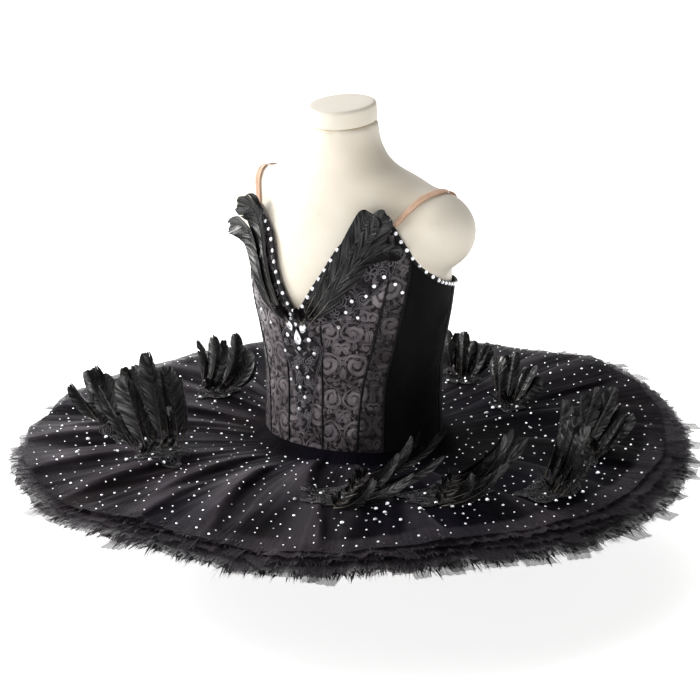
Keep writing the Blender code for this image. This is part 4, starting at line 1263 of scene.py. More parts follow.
def edge_line(start, stop, count, below, out):
    """A line along the bodice's top edge, a little below it, and the way out from it."""
    deg = np.linspace(start, stop, count)
    z = top_edge(deg)
    p = on_form(deg, z, 0.0)
    tangent = unit(np.gradient(p, axis=0))
    normal = form_normal(deg, z)
    down = unit(np.cross(tangent, normal))
    down = down * np.sign(-down[:, 2:3])
    q = p + down * below
    return on_form(angle_of(q), q[:, 2], out), form_normal(angle_of(q), q[:, 2])


def build_edging():
    """Flat braid that turns over the neckline and the armholes."""
    look = binding_look("edge_braid")
    made = {}
    for name, start, stop in (
        ("neckline_trim_left", 0.9, 49.0), ("neckline_trim_right", -0.9, -49.0),
        ("armhole_trim_left", 54.0, 180.0), ("armhole_trim_right", -54.0, -180.0),
    ):
        line = resample(edge_line(start, stop, 400, 0.0022, 0.0040)[0], 0.0016)
        deg = angle_of(line)
        up = form_normal(deg, line[:, 2])
        batch = Batch()
        n = len(line)
        s = np.arange(n)
        width = 0.0026 * (1 + 0.06 * np.sin(s * 1.55))
        width[:2] *= 0.8
        width[-2:] *= 0.8
        tangent, side, top = frames_along(line, up)
        th = 2 * np.pi * np.arange(14) / 14
        shape_x = np.sign(np.cos(th)) * np.abs(np.cos(th)) ** 0.8
        shape_y = np.sign(np.sin(th)) * np.abs(np.sin(th)) ** 0.9 * 0.50
        ring = (
            side[:, None, :] * shape_x[None, :, None] + up[:, None, :] * shape_y[None, :, None]
        ) * width[:, None, None]
        verts = (line[:, None, :] + ring).reshape(-1, 3)
        length = np.concatenate([[0], np.cumsum(np.linalg.norm(np.diff(line, axis=0), axis=1))])
        uv = np.stack([np.tile(0.002 + 0.002 * np.cos(th), n), np.repeat(length, 14)], -1)
        faces = [grid_faces(n, 14, True), np.array([list(range(14))[::-1]]), np.array([list(range((n - 1) * 14, n * 14))])]
        batch.add(verts, faces, uv)
        obj = batch.make(name + "_braid", look, "edging", node=name)
        CUTS[obj.name] = (0.010, float(length[-1]), None)
        made[name] = obj
    return made


STRAP_PATH = (
    # turn  x       spread
    (-30.0, 0.0880, 0.66), (6.0, 0.0950, 0.70), (25.0, 0.1030, 0.78), (50.0, 0.1150, 0.90), (80.0, 0.1250, 1.00),
    (100.0, 0.1260, 1.00), (130.0, 0.1200, 0.92), (160.0, 0.1090, 0.82), (190.0, 0.0985, 0.76),
    (215.0, 0.0895, 0.74), (236.0, 0.0830, 0.74), (252.0, 0.0800, 0.74),
)


def build_straps(form):
    """Elastic shoulder straps, tucked inside the top edge at both ends."""
    tree = BVHTree.FromObject(form, bpy.context.evaluated_depsgraph_get())
    look = strap_look("strap_elastic")
    made = []
    for side, word in ((1, "left"), (-1, "right")):
        turn = np.linspace(STRAP_PATH[0][0], STRAP_PATH[-1][0], 150)
        x = curve_at(STRAP_PATH, turn, 1)
        spread = curve_at(STRAP_PATH, turn, 2)
        cols = 7
        reach = np.empty((len(turn), cols))
        origin = np.empty((len(turn), cols, 3))
        ray = np.empty((len(turn), 3))
        for i, t in enumerate(np.radians(turn)):
            ray[i] = (0.0, -math.cos(t), math.sin(t))
            for j in range(cols):
                w = (j / (cols - 1) - 0.5) * STRAP_W * spread[i]
                origin[i, j] = (side * (x[i] + w), 0.0, 0.390)
                hit, _, _, far = tree.ray_cast(Vector(origin[i, j] + ray[i] * 0.25), Vector(-ray[i]), 0.30)
                reach[i, j] = 0.25 - far if hit else np.nan
        for j in range(cols):
            good = ~np.isnan(reach[:, j])
            reach[:, j] = np.interp(turn, turn[good], reach[good, j])
        # pulled tight: it spans hollows, and lies flat across its width
        middle = reach.mean(1)
        for _ in range(60):
            middle[1:-1] = np.maximum(middle[1:-1], (middle[:-2] + middle[2:]) / 2)
        reach = np.maximum(reach, middle[:, None] * 0.6 + reach * 0.4)
        p = origin + ray[:, None, :] * (reach + 0.0011)[..., None]
        inside = p[:, cols // 2, 2] < top_edge(angle_of(p[:, cols // 2])) + 0.0004
        keep = p[:, cols // 2, 2] > top_edge(angle_of(p[:, cols // 2])) - 0.012
        # inside the top edge the strap lies between the form and the cloth
        flat = on_form(angle_of(p), p[..., 2], 0.0002)
        blend = np.clip(np.convolve(inside.astype(float), np.ones(5) / 5, "same"), 0, 1)[:, None, None]
        p = (p * (1 - blend) + flat * blend)[keep]
        rows = len(p)
        length = np.concatenate([[0], np.cumsum(np.linalg.norm(np.diff(p[:, cols // 2], axis=0), axis=1))])
        uu = np.linspace(0, STRAP_W, cols)
        uv = np.stack(np.meshgrid(uu, length), -1)
        faces = grid_faces(rows, cols)
        if side < 0:
            faces = faces[:, ::-1]
        obj = make(f"strap_{word}_elastic", p, faces, look, "strap", uv, node=f"strap_{word}")
        middle_row = p[rows // 2, cols // 2]
        obj.data.update()
        if obj.data.polygons[(rows // 2) * (cols - 1)].normal.dot(Vector(middle_row) - Vector((side * 0.11, 0, 0.39))) < 0:
            obj.data.flip_normals()
        shell = obj.modifiers.new("Solidify", "SOLIDIFY")
        shell.thickness = 0.0011
        shell.offset = 1.0
        CUTS[obj.name] = (0.010, float(length[-1]), None)
        made.append(obj)
    return made


# ------------------------------------------------------------- skirt
NET_FINISH = (
    # cover inside, cover at the rim, streak of light
    (0.985, 0.80, 0.22),
    (0.96, 0.52, 0.60),
    (0.95, 0.46, 0.60),
    (0.95, 0.40, 0.60),
    (0.94, 0.34, 0.60),
    (0.95, 0.40, 0.60),
)


def build_layer(k):
    name = LAYERS[k][0]
    cols, rows = (1260, 26) if k == 0 else (900, 14)
    rng = np.random.default_rng(300 + k)
    deg = np.linspace(-180, 180, cols + 1)
    share = np.linspace(0, 1, rows) ** (0.92 if k == 0 else 0.8)
    share[-2] = 0.985
    cut = 0.004 if k == 0 else 0.030
    # the rim is hacked off in short straight cuts, here and there a long tooth
    jag = np.repeat(rng.uniform(0, 1, cols), rng.integers(1, 7, cols))[: cols + 1]
    jag = jag * (0.25 + 0.75 * np.clip(ripple(deg, 500 + k, 11, 130, 17) + 0.3, 0, 1)) * cut - cut * 0.45
    jag[-1] = jag[0]
    grid_share, grid_deg = np.meshgrid(share, deg, indexing="ij")
    grid_share[-1] = 1.0 + jag
    verts = layer_surface(k, grid_deg, grid_share)
    radius = np.hypot(verts[..., 0], verts[..., 1])
    verts[..., :2] *= (np.minimum(radius, RIM_MOST) / radius)[..., None]
    r, _ = layer_base(LAYERS[k], grid_share, grid_deg)
    uv = np.stack([np.radians(grid_deg) * 0.30, r], -1)
    # on the lower layers the tone map is pale all round: painted light against the shade under the top plate
    doubling_and_painted_light = np.full_like(grid_deg, 0.85)
    if k == 0:
        # the top plate's tone map: random variation round the body, painted highlight and painted shade from the
        # creases, and darker towards the waist
        wide = ripple(grid_deg + 20 * grid_share, 610, 5, 23, 9) * 0.5 + 0.5
        fine = ripple(grid_deg + 9 * grid_share, 611, 26, 96, 23)
        doubling_and_painted_light = np.clip(0.02 + 0.40 * wide + 0.16 * fine + crease_height(grid_deg, grid_share, True), 0, 1)
        doubling_and_painted_light = doubling_and_painted_light * np.clip((grid_share - 0.01) / 0.12, 0.05, 1)
        # painted shade: the plate is darkened on the wearer's left, towards the back, the side turned from the light
        doubling_and_painted_light = doubling_and_painted_light * (1 - 0.66 * np.exp(-(((grid_deg - 112) / 74) ** 4)))
        # past the layers beneath, a single thickness shows as a paler band, strongest at the front on the wearer's
        # left: painted light showing through the net
        single = np.clip((grid_share - 0.900) / 0.02, 0, 1) * (0.06 + 0.46 * np.exp(-(((grid_deg - 66) / 48) ** 4)))
        doubling_and_painted_light = np.clip(doubling_and_painted_light + single, 0, 1)
    faces = grid_faces(rows, cols + 1)[:, ::-1]
    cover = NET_FINISH[k]
    look = net_look(f"tulle_{k}", *cover)
    obj = make(f"{name}_net", verts, faces, look, "net", uv, node=name, values={"share": grid_share, "doubling_and_painted_light": doubling_and_painted_light})
    # the cut: a ring whose rim is as long as the waved rim, across and across its hole
    rim = float(np.linalg.norm(np.diff(verts[-2], axis=0), axis=1).sum())
    hole = float(np.linalg.norm(np.diff(verts[1], axis=0), axis=1).sum())
    CUTS[obj.name] = (rim / math.pi, hole / math.pi, None)
    return obj


RIM_MOST = 0.4125
FRINGE = (
    # slivers  longest  droop   spread
    (900, 0.006, 0.05, 0.35),
    (2300, 0.008, 0.10, 0.40),
    (2700, 0.010, 0.14, 0.45),
    (3300, 0.012, 0.18, 0.45),
    (4600, 0.015, 0.24, 0.50),
    (4600, 0.017, 0.32, 0.50),
)
END_MOST = 0.4150


def build_ends(k, look):
    """Square corners of net that slipped out past the rim, most of them on the wearer's left."""
    rng = np.random.default_rng(830 + k)
    count = (0, 4, 5, 6, 8, 8)[k]
    at = np.concatenate([rng.uniform(18, 128, count), rng.uniform(-180, 180, 3)])
    batch, rows, cols = Batch(), 5, 9
    for middle in at:
        wide = rng.uniform(0.014, 0.036)
        long = rng.uniform(0.019, 0.033)
        turn = math.radians(rng.normal(0, 17))
        root = layer_surface(k, np.array([middle]), np.array([0.955]))[0]
        a = math.radians(middle)
        out, aside = np.array([math.sin(a), -math.cos(a), 0.0]), np.array([math.cos(a), math.sin(a), 0.0])
        way = out * math.cos(turn) + aside * math.sin(turn)
        side = aside * math.cos(turn) - out * math.sin(turn)
        t, w = np.meshgrid(np.linspace(-0.35, 1, rows), np.linspace(-0.5, 0.5, cols), indexing="ij")
        skew = rng.uniform(-0.25, 0.25)
        reach = long * (t + skew * w * np.clip(t, 0, 1))
        p = root + way * reach[..., None] + side * (w * wide)[..., None]
        folds = 0.0008 * np.sin(w * math.pi * rng.integers(3, 6) * 2 + rng.uniform(0, 6))
        p[..., 2] += folds - 0.10 * rng.uniform(0.2, 1.4) * np.clip(reach, 0, 1) + 0.0006
        far = np.hypot(p[..., 0], p[..., 1])
        p[..., :2] *= (np.minimum(far, END_MOST) / far)[..., None]
        uv = np.stack([w * wide + a * 0.3, reach + 0.36], -1)
        batch.add(p.reshape(-1, 3), grid_faces(rows, cols)[:, ::-1], uv.reshape(-1, 2))
    obj = batch.make(f"{LAYERS[k][0]}_ends", look, "net")
    n = len(obj.data.vertices)
    for word, value in (("share", 1.0), ("doubling_and_painted_light", 0.55)):
        data = obj.data.attributes.new(word, "FLOAT", "POINT")
        data.data.foreach_set("value", np.full(n, value, np.float32))
    return obj


def build_fringe(k, look):
    """Loose threads and slivers of net left by the cut edge; neighbours lie the same way."""
    count, longest, droop, spread = FRINGE[k]
    rng = np.random.default_rng(700 + k)
    deg = rng.uniform(-180, 180, count)
    thick = 0.5 + 0.5 * ripple(deg, 720 + k, 9, 120, 17)
    deg = deg[rng.uniform(0, 1, count) < 0.15 + 0.85 * thick]
    n = len(deg)
    share = rng.uniform(0.950, 0.995, n)
    root = layer_surface(k, deg, share)
    a = np.radians(deg)
    radial = np.stack([np.sin(a), -np.cos(a), 0 * a], -1)
    tangent = np.stack([np.cos(a), np.sin(a), 0 * a], -1)
    lean = (1.15 * ripple(deg, 740 + k, 40, 170, 17) * spread + rng.normal(0, 0.10, n))[:, None]
    fall = (droop * rng.uniform(0.2, 1.6, n) + 0.10 * ripple(deg, 760 + k, 20, 90, 13))[:, None]
    way = unit(radial + tangent * lean + np.array([0, 0, -1.0]) * fall)
    reach = 0.55 + 0.45 * ripple(deg, 780 + k, 15, 110, 15)
    length = (longest * reach * (0.35 + 0.65 * rng.uniform(0, 1, n) ** 1.5))[:, None] + 0.0035
    out = np.linalg.norm((root + way * length)[:, :2], axis=1)
    length = length - np.maximum(out - RIM_MOST, 0)[:, None] * 1.02
    wide = (0.00020 + 0.00125 * rng.uniform(0, 1, n) ** 3)[:, None]
    side = unit(np.cross(way, np.array([0, 0, 1.0])))
    steps = 3
    verts = np.empty((n, steps, 2, 3))
    for i in range(steps):
        t = i / (steps - 1)
        bend = np.array([0, 0, -1.0]) * (length * fall * 0.25 * t * t)
        mid = root + way * length * t + bend
        w = wide * (1 - t) ** 0.7 + 0.00005
        verts[:, i, 0], verts[:, i, 1] = mid - side * w, mid + side * w
    quad = np.array([[2 * i, 2 * i + 1, 2 * i + 3, 2 * i + 2] for i in range(steps - 1)])
    faces = (quad[None] + (np.arange(n) * steps * 2)[:, None, None]).reshape(-1, 4)
    return make(f"{LAYERS[k][0]}_fringe", verts, faces, look, "net")


def build_under():
    """Basque and knicker: knitted cloth that fits the hips under the net."""
    look = basque_look("basque_knit")
    made = []
    for name, z0, z1, rows in (("basque", BASQUE_Z, 0.1335, 26), ("knicker", KNICKER_Z, BASQUE_Z - SEAM, 22)):
        cols = 184 if name == "basque" else 220
        deg = np.linspace(0, 360, cols, endpoint=False)
        z, d = np.meshgrid(np.linspace(z0, z1, rows), deg, indexing="ij")
        t = (z - z0) / (z1 - z0)
        wrinkle = 0.0007 * ripple(d, 810 if name == "basque" else 820, 3, 17) * np.sin(np.pi * t)
        wrinkle = wrinkle + 0.0005 * np.sin(np.radians(d * 3) + z * 190.0) * np.sin(np.pi * t)
        edge = 0.0
        if name == "knicker":
            # gathered by the elastic in the leg end
            close = np.exp(-(t / 0.16) ** 2)
            edge = 0.0007 * np.sin(np.radians(d * 46) + 1.5 * ripple(d, 830, 3, 19)) * close
            edge = edge - 0.0004 * np.exp(-(((t - 0.13) / 0.04) ** 2))
        verts = on_form(d, z, CLOTH_GAP + 0.0004 + wrinkle + edge)
        uv = np.stack([np.radians(d) * 0.1, z], -1)
        obj = make(f"{name}_cloth", verts, grid_faces(rows, cols, True), look, "basque_cloth", uv, node=name)
        shell = obj.modifiers.new("Solidify", "SOLIDIFY")
        shell.thickness = 0.0011
        shell.offset = 1.0
        p = verts.reshape(rows, cols, 3)
        wide = float(np.linalg.norm(np.diff(np.concatenate([p, p[:, :1]], 1), axis=1), axis=-1).sum(1).max())
        tall = float(np.linalg.norm(np.diff(p, axis=0), axis=-1).sum(0).max())
        CUTS[obj.name] = (wide, tall, None)
        made.append(obj)
    return made


# ------------------------------------------------------------- stones
def stones(batch, centres, normals, radius, sides=6, spin=None):
    """Flat-backed cut stones, all at once: a girdle, a sloped crown and a table."""
    centres = np.asarray(centres, float).reshape(-1, 3)
    normals = unit(np.asarray(normals, float).reshape(-1, 3))
    n = len(centres)
    radius = np.broadcast_to(np.asarray(radius, float), (n,))
    spin = np.zeros(n) if spin is None else np.asarray(spin, float)
    ref = np.where(np.abs(normals[:, 2:3]) > 0.9, np.array([[1.0, 0, 0]]), np.array([[0, 0, 1.0]]))
    x = unit(np.cross(ref, normals))
    y = np.cross(normals, x)
    rings = ((1.0, 0.0, 0.0), (1.0, 0.22, 0.0), (0.58, 0.62, 0.5))
    th = 2 * np.pi * np.arange(sides) / sides
    verts = []
    for scale, lift, twist in rings:
        a = th[None, :] + spin[:, None] + twist * np.pi / sides * 2
        verts.append(
            centres[:, None] + radius[:, None, None] * (
                x[:, None] * np.cos(a)[..., None] * scale
                + y[:, None] * np.sin(a)[..., None] * scale
                + normals[:, None] * lift
            )
        )
    verts = np.stack(verts, 1).reshape(n, -1, 3)
    quads, tris = [], []
    for i in range(sides):
        j = (i + 1) % sides
        quads.append((i, j, sides + j, sides + i))
        tris.append((sides + i, sides + j, 2 * sides + i))
        tris.append((2 * sides + i, sides + j, 2 * sides + j))
    per = 3 * sides
    shift = (np.arange(n) * per)[:, None, None]
    batch.add(verts.reshape(-1, 3), [
        (np.array(quads)[None] + shift).reshape(-1, 4),
        (np.array(tris)[None] + shift).reshape(-1, 3),
        (np.array([list(range(2 * sides, 3 * sides))])[None] + shift).reshape(-1, sides),
        (np.array([list(range(sides))[::-1]])[None] + shift).reshape(-1, sides),
    ])


def build_plate_stones(look, taken):
    """Scattered small stones over the top plate, in uneven rings."""
    rng = np.random.default_rng(11)
    points = []
    r, row = 0.118, 0
    while r < PLATE_R + 0.020:
        count = int(2 * math.pi * r / 0.0200)
        deg = (np.arange(count) + 0.5 * (row % 2)) * 360.0 / count - 180.0
        deg = deg + rng.uniform(-0.30, 0.30, count) * 360.0 / count
        rr = r + rng.uniform(-0.0048, 0.0048, count)
        keep = rng.uniform(0, 1, count) < 0.93
        a = np.radians(deg[keep])
        points.append(np.stack([rr[keep] * np.sin(a), -rr[keep] * np.cos(a)], -1))
        r += 0.0172
        row += 1
    p = np.concatenate(points)
    _, share = plate_share(p[:, 0], p[:, 1])
    p = p[(share > 0.03) & (share < 0.985)]
    for x, y, keep_out in taken:
        p = p[np.hypot(p[:, 0] - x, p[:, 1] - y) > keep_out]
    at, normal = on_plate(p[:, 0], p[:, 1], 0.0001)
    batch = Batch()
    size = np.where(rng.uniform(0, 1, len(p)) < 0.14, 0.00150, 0.00100) * rng.uniform(0.9, 1.1, len(p))
    stones(batch, at, normal + rng.normal(0, 0.06, normal.shape), size, 6, rng.uniform(0, 6.28, len(p)))
    return batch.make("plate_stones", look, "jewel", smooth=False)


def cut_stone(batch, centre, normal, up, outline, height, table=0.55):
    """One larger faceted stone of any outline (points in its own plane)."""
    centre, normal = np.asarray(centre, float), unit(np.asarray(normal, float))
    x = unit(np.cross(up, normal))
    y = np.cross(normal, x)
    n = len(outline)
    outline = np.asarray(outline, float)
    rings = ((0.94, 0.0), (1.0, 0.30), (0.80, 0.72), (table, 1.0))
    verts = []
    for scale, lift in rings:
        p = outline * scale
        verts.append(centre + p[:, 0, None] * x + p[:, 1, None] * y + normal * height * lift)
    verts = np.concatenate(verts)
    quads, tris = [], []
    for i in range(n):
        j = (i + 1) % n
        quads.append((i, j, n + j, n + i))
        for ring in (1, 2):
            a, b = ring * n, (ring + 1) * n
            if (i + ring) % 2:
                tris += [(a + i, a + j, b + i), (b + i, a + j, b + j)]
            else:
                tris += [(a + i, a + j, b + j), (a + i, b + j, b + i)]
    batch.add(verts, [np.array(quads), np.array(tris), np.array([list(range(3 * n, 4 * n))]), np.array([list(range(n))[::-1]])])


def setting(batch, centre, normal, up, outline, height):
    """Thin metal cup round a stone, with a rolled lip."""
    centre, normal = np.asarray(centre, float), unit(np.asarray(normal, float))
    x = unit(np.cross(up, normal))
    y = np.cross(normal, x)
    outline = np.asarray(outline, float)
    n = len(outline)
    grow = 0.0004
    rings = ((0.75, 0.0, -0.1), (1.0, grow, -0.1), (1.0, grow, 0.42), (1.0, grow * 0.4, 0.55), (1.0, -grow * 0.2, 0.46))
    size = np.linalg.norm(outline, axis=1, keepdims=True)
    verts = []
    for scale, more, lift in rings:
        p = outline * scale * (1 + more / size)
        verts.append(centre + p[:, 0, None] * x + p[:, 1, None] * y + normal * height * lift)
    batch.add(np.concatenate(verts), [grid_faces(len(rings), n, True), np.array([list(range(n))[::-1]])])


def disc_outline(radius, sides=10):
    a = 2 * np.pi * np.arange(sides) / sides
    return np.stack([np.cos(a), np.sin(a)], -1) * radius


def navette_outline(width, length, sides=12, turn=0.0):
    a = 2 * np.pi * np.arange(sides) / sides
    p = np.stack([np.sign(np.cos(a)) * np.abs(np.cos(a)) ** 1.5 * width / 2, np.sin(a) * length / 2], -1)
    c, s = math.cos(math.radians(turn)), math.sin(math.radians(turn))
    return np.stack([p[:, 0] * c - p[:, 1] * s, p[:, 0] * s + p[:, 1] * c], -1)


def pear_outline(width, length, sides=14):
    a = 2 * np.pi * np.arange(sides) / sides
    y = -np.cos(a)
    x = np.sin(a) * (0.5 - 0.42 * np.clip(y, -1, 1)) ** 0.75
    return np.stack([x / np.abs(x).max() * width / 2, y * length / 2], -1)


# ------------------------------------------------------------- lace
def curl(cx, cy, radius, turns, hand, start):
    """A C-scroll: a line that winds in to a small eye."""
    t = np.linspace(0, 1, int(14 + 12 * turns))
    r = radius * (1 - 0.86 * t**0.85)
    a = start + hand * t * turns * 2 * np.pi
    return np.stack([cx + r * np.cos(a), cy + r * np.sin(a)], -1)


def petal(cx, cy, angle, length, width):
    t = np.linspace(0, 2 * np.pi, 18)
    along = length * (0.5 - 0.5 * np.cos(t))
    aside = width * 0.5 * np.sin(t) * (0.55 + 0.45 * np.sin(t / 2) ** 2)
    c, s = math.cos(angle), math.sin(angle)
    return np.stack([cx + along * c - aside * s, cy + along * s + aside * c], -1)


class Lace:
    """A lace appliqué: net ground, corded scrolls and petals, and small padded leaves.

    grid holds the patch in its own plane; lay(points, lift) puts plane points on the cloth.
    """

    def __init__(self, name, grid, closed, lay, seed, looks, slot="lace"):
        self.lay = lay
        rows, cols = grid.shape[:2]
        verts, _ = lay(grid.reshape(-1, 2), 0.0)
        self.ground = make(f"{name}_ground", verts, grid_faces(rows, cols, closed), looks["ground"], slot, grid.reshape(-1, 2), node=name)
        n = np.zeros(3)
        for polygon in list(self.ground.data.polygons)[:: max(1, len(self.ground.data.polygons) // 40)]:
            n += np.array(polygon.normal)
        _, normals = lay(grid.reshape(-1, 2)[:: max(1, rows * cols // 40)], 0.0)
        if np.dot(n, normals.mean(0)) < 0:
            self.ground.data.flip_normals()
        p = verts.reshape(rows, cols, 3)
        if closed:
            p = np.concatenate([p, p[:, :1]], 1)
        a = np.linalg.norm(np.cross(p[1:, 1:] - p[:-1, :-1], p[1:, :-1] - p[:-1, 1:]), axis=-1).sum() / 2
        flat = grid.reshape(-1, 2)
        # the size of the piece that it is cut from, along its own long side
        mid = flat.mean(0)
        _, _, axes = np.linalg.svd(flat - mid, full_matrices=False)
        spread = (flat - mid) @ axes.T
        size = spread.max(0) - spread.min(0)
        CUTS[self.ground.name] = (float(size[1]), float(size[0]), float(a))
        self.rng = np.random.default_rng(seed)
        self.lines = []
        self.name, self.looks, self.slot = name, looks, slot

    def line(self, points, radius, lift, taper=0.0, flat=0.75):
        self.lines.append((np.asarray(points, float), radius, lift, taper, flat))

    def scroll(self, x, y, size, turn=None):
        rng = self.rng
        hand = rng.choice((-1, 1))
        turn = rng.uniform(0, 2 * np.pi) if turn is None else turn
        self.line(curl(x, y, size, rng.uniform(1.25, 1.7), hand, turn), 0.00078, 0.0006)
        # an outer rib and two leaves that spring from the scroll
        t = np.linspace(0.0, 0.62, 16)
        a = turn + hand * t * 2 * np.pi
        ring = np.stack([x + size * 1.22 * np.cos(a), y + size * 1.22 * np.sin(a)], -1)
        self.line(ring, 0.00050, 0.0004)
        for k in range(2):
            a = turn + hand * (0.25 + 0.34 * k) * 2 * np.pi
            root = (x + size * 1.12 * math.cos(a), y + size * 1.12 * math.sin(a))
            self.leaf(root[0], root[1], a - hand * 0.5, size * 0.62)

    def leaf(self, x, y, angle, length):
        end = (x + length * math.cos(angle), y + length * math.sin(angle))
        bend = length * 0.16
        mid = ((x + end[0]) / 2 - bend * math.sin(angle), (y + end[1]) / 2 + bend * math.cos(angle))
        t = np.linspace(0, 1, 8)[:, None]
        p = np.array([x, y]) * (1 - t) ** 2 + np.array(mid) * 2 * t * (1 - t) + np.array(end) * t * t
        self.line(p, length * 0.17, 0.0003, 1.0, 0.42)

    def floret(self, x, y, size):
        turn = self.rng.uniform(0, 2 * np.pi)
        for k in range(5):
            self.line(petal(x, y, turn + k * 2 * np.pi / 5, size, size * 0.72), 0.00058, 0.0005)
        self.line(curl(x, y, size * 0.22, 0.9, 1, 0.0), 0.00075, 0.0010)

    def fill(self, polygon, pitch, low=0.0034, high=0.0058):
        """Scatters motifs over the patch, none too near another, and edges it with scallops."""
        rng = self.rng
        polygon = np.asarray(polygon, float)
        lo, hi = polygon.min(0), polygon.max(0)
        placed = []
        for _ in range(900):
            q = rng.uniform(lo, hi)
            if not inside_polygon(polygon, q):
                continue
            edge = np.min(np.linalg.norm(polygon - q, axis=1))
            if edge < 0.0022:
                continue
            if all(np.hypot(*(q - p)) > pitch for p in placed):
                placed.append(q)
                size = min(rng.uniform(low, high), edge * 1.15)
                kind = rng.uniform()
                if kind < 0.58:
                    self.scroll(q[0], q[1], size)
                elif kind < 0.80:
                    self.floret(q[0], q[1], size * 1.1)
                else:
                    a = rng.uniform(0, 2 * np.pi)
                    for k in range(5):
                        self.leaf(q[0], q[1], a + (k - 2) * 0.62, size * (1.2 - 0.12 * abs(k - 2)))
        # stems from each motif to its nearest neighbour
        for i, q in enumerate(placed):
            others = sorted((np.hypot(*(q - p)), j) for j, p in enumerate(placed) if j != i)[:2]
            for far, j in others:
                if j < i and far < pitch * 2.2:
                    t = np.linspace(0, 1, 10)[:, None]
                    way = placed[j] - q
                    aside = np.array([-way[1], way[0]]) * rng.uniform(-0.35, 0.35)
                    self.line(q + way * t + aside * np.sin(np.pi * t), 0.00038, 0.0002)
        # scalloped border: one small loop after another
        step = 0.0014 if "skirt" in self.name else 0.0009
        ring = resample(np.concatenate([polygon, polygon[:1]]), step)
        d = np.arange(len(ring)) * step
        tangent = unit(np.gradient(ring, axis=0))
        outward = np.stack([tangent[:, 1], -tangent[:, 0]], -1)
        middle = ring.mean(0)
        if ((ring - middle) * outward).sum() < 0:
            outward = -outward
        wave = np.abs(np.sin(np.pi * d / 0.0056))
        self.line(ring + outward * (wave[:, None] * 0.0015 - 0.0007), 0.00045, 0.0002)
        self.line(ring - outward * 0.0016, 0.00032, 0.0002)

    def finish(self):
        everything = np.concatenate([row[0] for row in self.lines])
        at, normal = self.lay(everything, 0.0)
        batch, start = Batch(), 0
        for points, radius, lift, taper, flat in self.lines:
            n = len(points)
            p, up = at[start : start + n], normal[start : start + n]
            start += n
            if taper:
                r = radius * (np.sin(np.pi * np.linspace(0.06, 0.97, n)) ** 0.8 + 0.06)
            else:
                r = np.full(n, radius)
                r[0] = r[-1] = radius * 0.5
            tube(batch, p + up * (lift + radius * flat * 0.5), r, 4 if "skirt" in self.name else 5, up, flat)
        cords = batch.make(f"{self.name}_cords", self.looks["cord"], self.slot)
        self.cords = cords
        return self


def inside_polygon(polygon, q):
    x, y = polygon[:, 0], polygon[:, 1]
    x2, y2 = np.roll(x, -1), np.roll(y, -1)
    crosses = (y > q[1]) != (y2 > q[1])
    at = x + (q[1] - y) * (x2 - x) / np.where(y2 == y, 1e-12, y2 - y)
    return bool((crosses & (q[0] < at)).sum() % 2)


BUST_LACE = (
    # along angle height half_width
    (0.00, 7.0, 0.292, 0.0060),
    (0.20, 13.0, 0.303, 0.0150),
    (0.45, 24.0, 0.325, 0.0230),
    (0.70, 37.0, 0.342, 0.0200),
    (0.88, 47.0, 0.358, 0.0140),
    (1.00, 52.0, 0.372, 0.0070),
)
CENTRE_LACE = (
    # height half_angle
    (0.155, 2.5), (0.175, 5.0), (0.200, 7.5), (0.225, 9.5), (0.245, 13.0),
    (0.262, 14.5), (0.278, 10.0), (0.288, 5.0),
)
BODY_R = 0.112


def on_bodice(points, lift):
    deg = np.degrees(points[:, 0] / BODY_R)
    out = CLOTH_GAP + CLOTH + 0.0006 + lift
    return on_form(deg, points[:, 1], out), form_normal(deg, points[:, 1])


def build_bodice_lace(looks):
    made = []
    for side, word in ((1, "left"), (-1, "right")):
        s = np.linspace(0, 1, 40)
        deg, z, half = (curve_at(BUST_LACE, s, c) for c in (1, 2, 3))
        across = np.gradient(np.radians(deg) * BODY_R)
        dz = np.gradient(z)
        length = np.hypot(across, dz)
        nx, nz = -dz / length, across / length
        w = np.linspace(-1, 1, 21)
        a = np.radians(deg)[:, None] * BODY_R + nx[:, None] * w * half[:, None]
        b = z[:, None] + nz[:, None] * w * half[:, None]
        b = np.minimum(b, top_edge(np.degrees(a / BODY_R)) - 0.0078)
        grid = np.stack([a * side, b], -1)
        lace = Lace(f"lace_bust_{word}", grid, False, on_bodice, 21 + side, looks)
        outline = np.concatenate([grid[:, 0], grid[-1, 1:-1], grid[::-1, -1], grid[0, -2:0:-1]])
        lace.fill(outline, 0.0112, 0.0048, 0.0076)
        made.append(lace.finish())

    z = np.linspace(CENTRE_LACE[0][0], CENTRE_LACE[-1][0], 46)
    half = np.radians(curve_at(CENTRE_LACE, z, 1)) * BODY_R
    w = np.linspace(-1, 1, 19)
    grid = np.stack([half[:, None] * w, z[:, None] + 0 * w], -1)
    lace = Lace("lace_centre", grid, False, on_bodice, 31, looks)
    outline = np.concatenate([grid[:, 0], grid[-1, 1:-1], grid[::-1, -1], grid[0, -2:0:-1]])
    for height, size in ((0.176, 0.0040), (0.196, 0.0050), (0.218, 0.0058), (0.241, 0.0066)):
        for side in (-1, 1):
            lace.line(curl(side * size * 1.15, height, size, 1.8, side, math.pi / 2 + 0.4 * side), 0.00060, 0.0006)
            lace.leaf(side * size * 0.4, height + size * 1.2, math.pi / 2 - side * 0.8, size * 1.3)
            lace.leaf(side * size * 1.6, height - size * 0.9, -math.pi / 2 + side * 0.9, size * 1.0)
    lace.fill(outline, 0.0108, 0.0034, 0.0056)
    made.append(lace.finish())
    return made


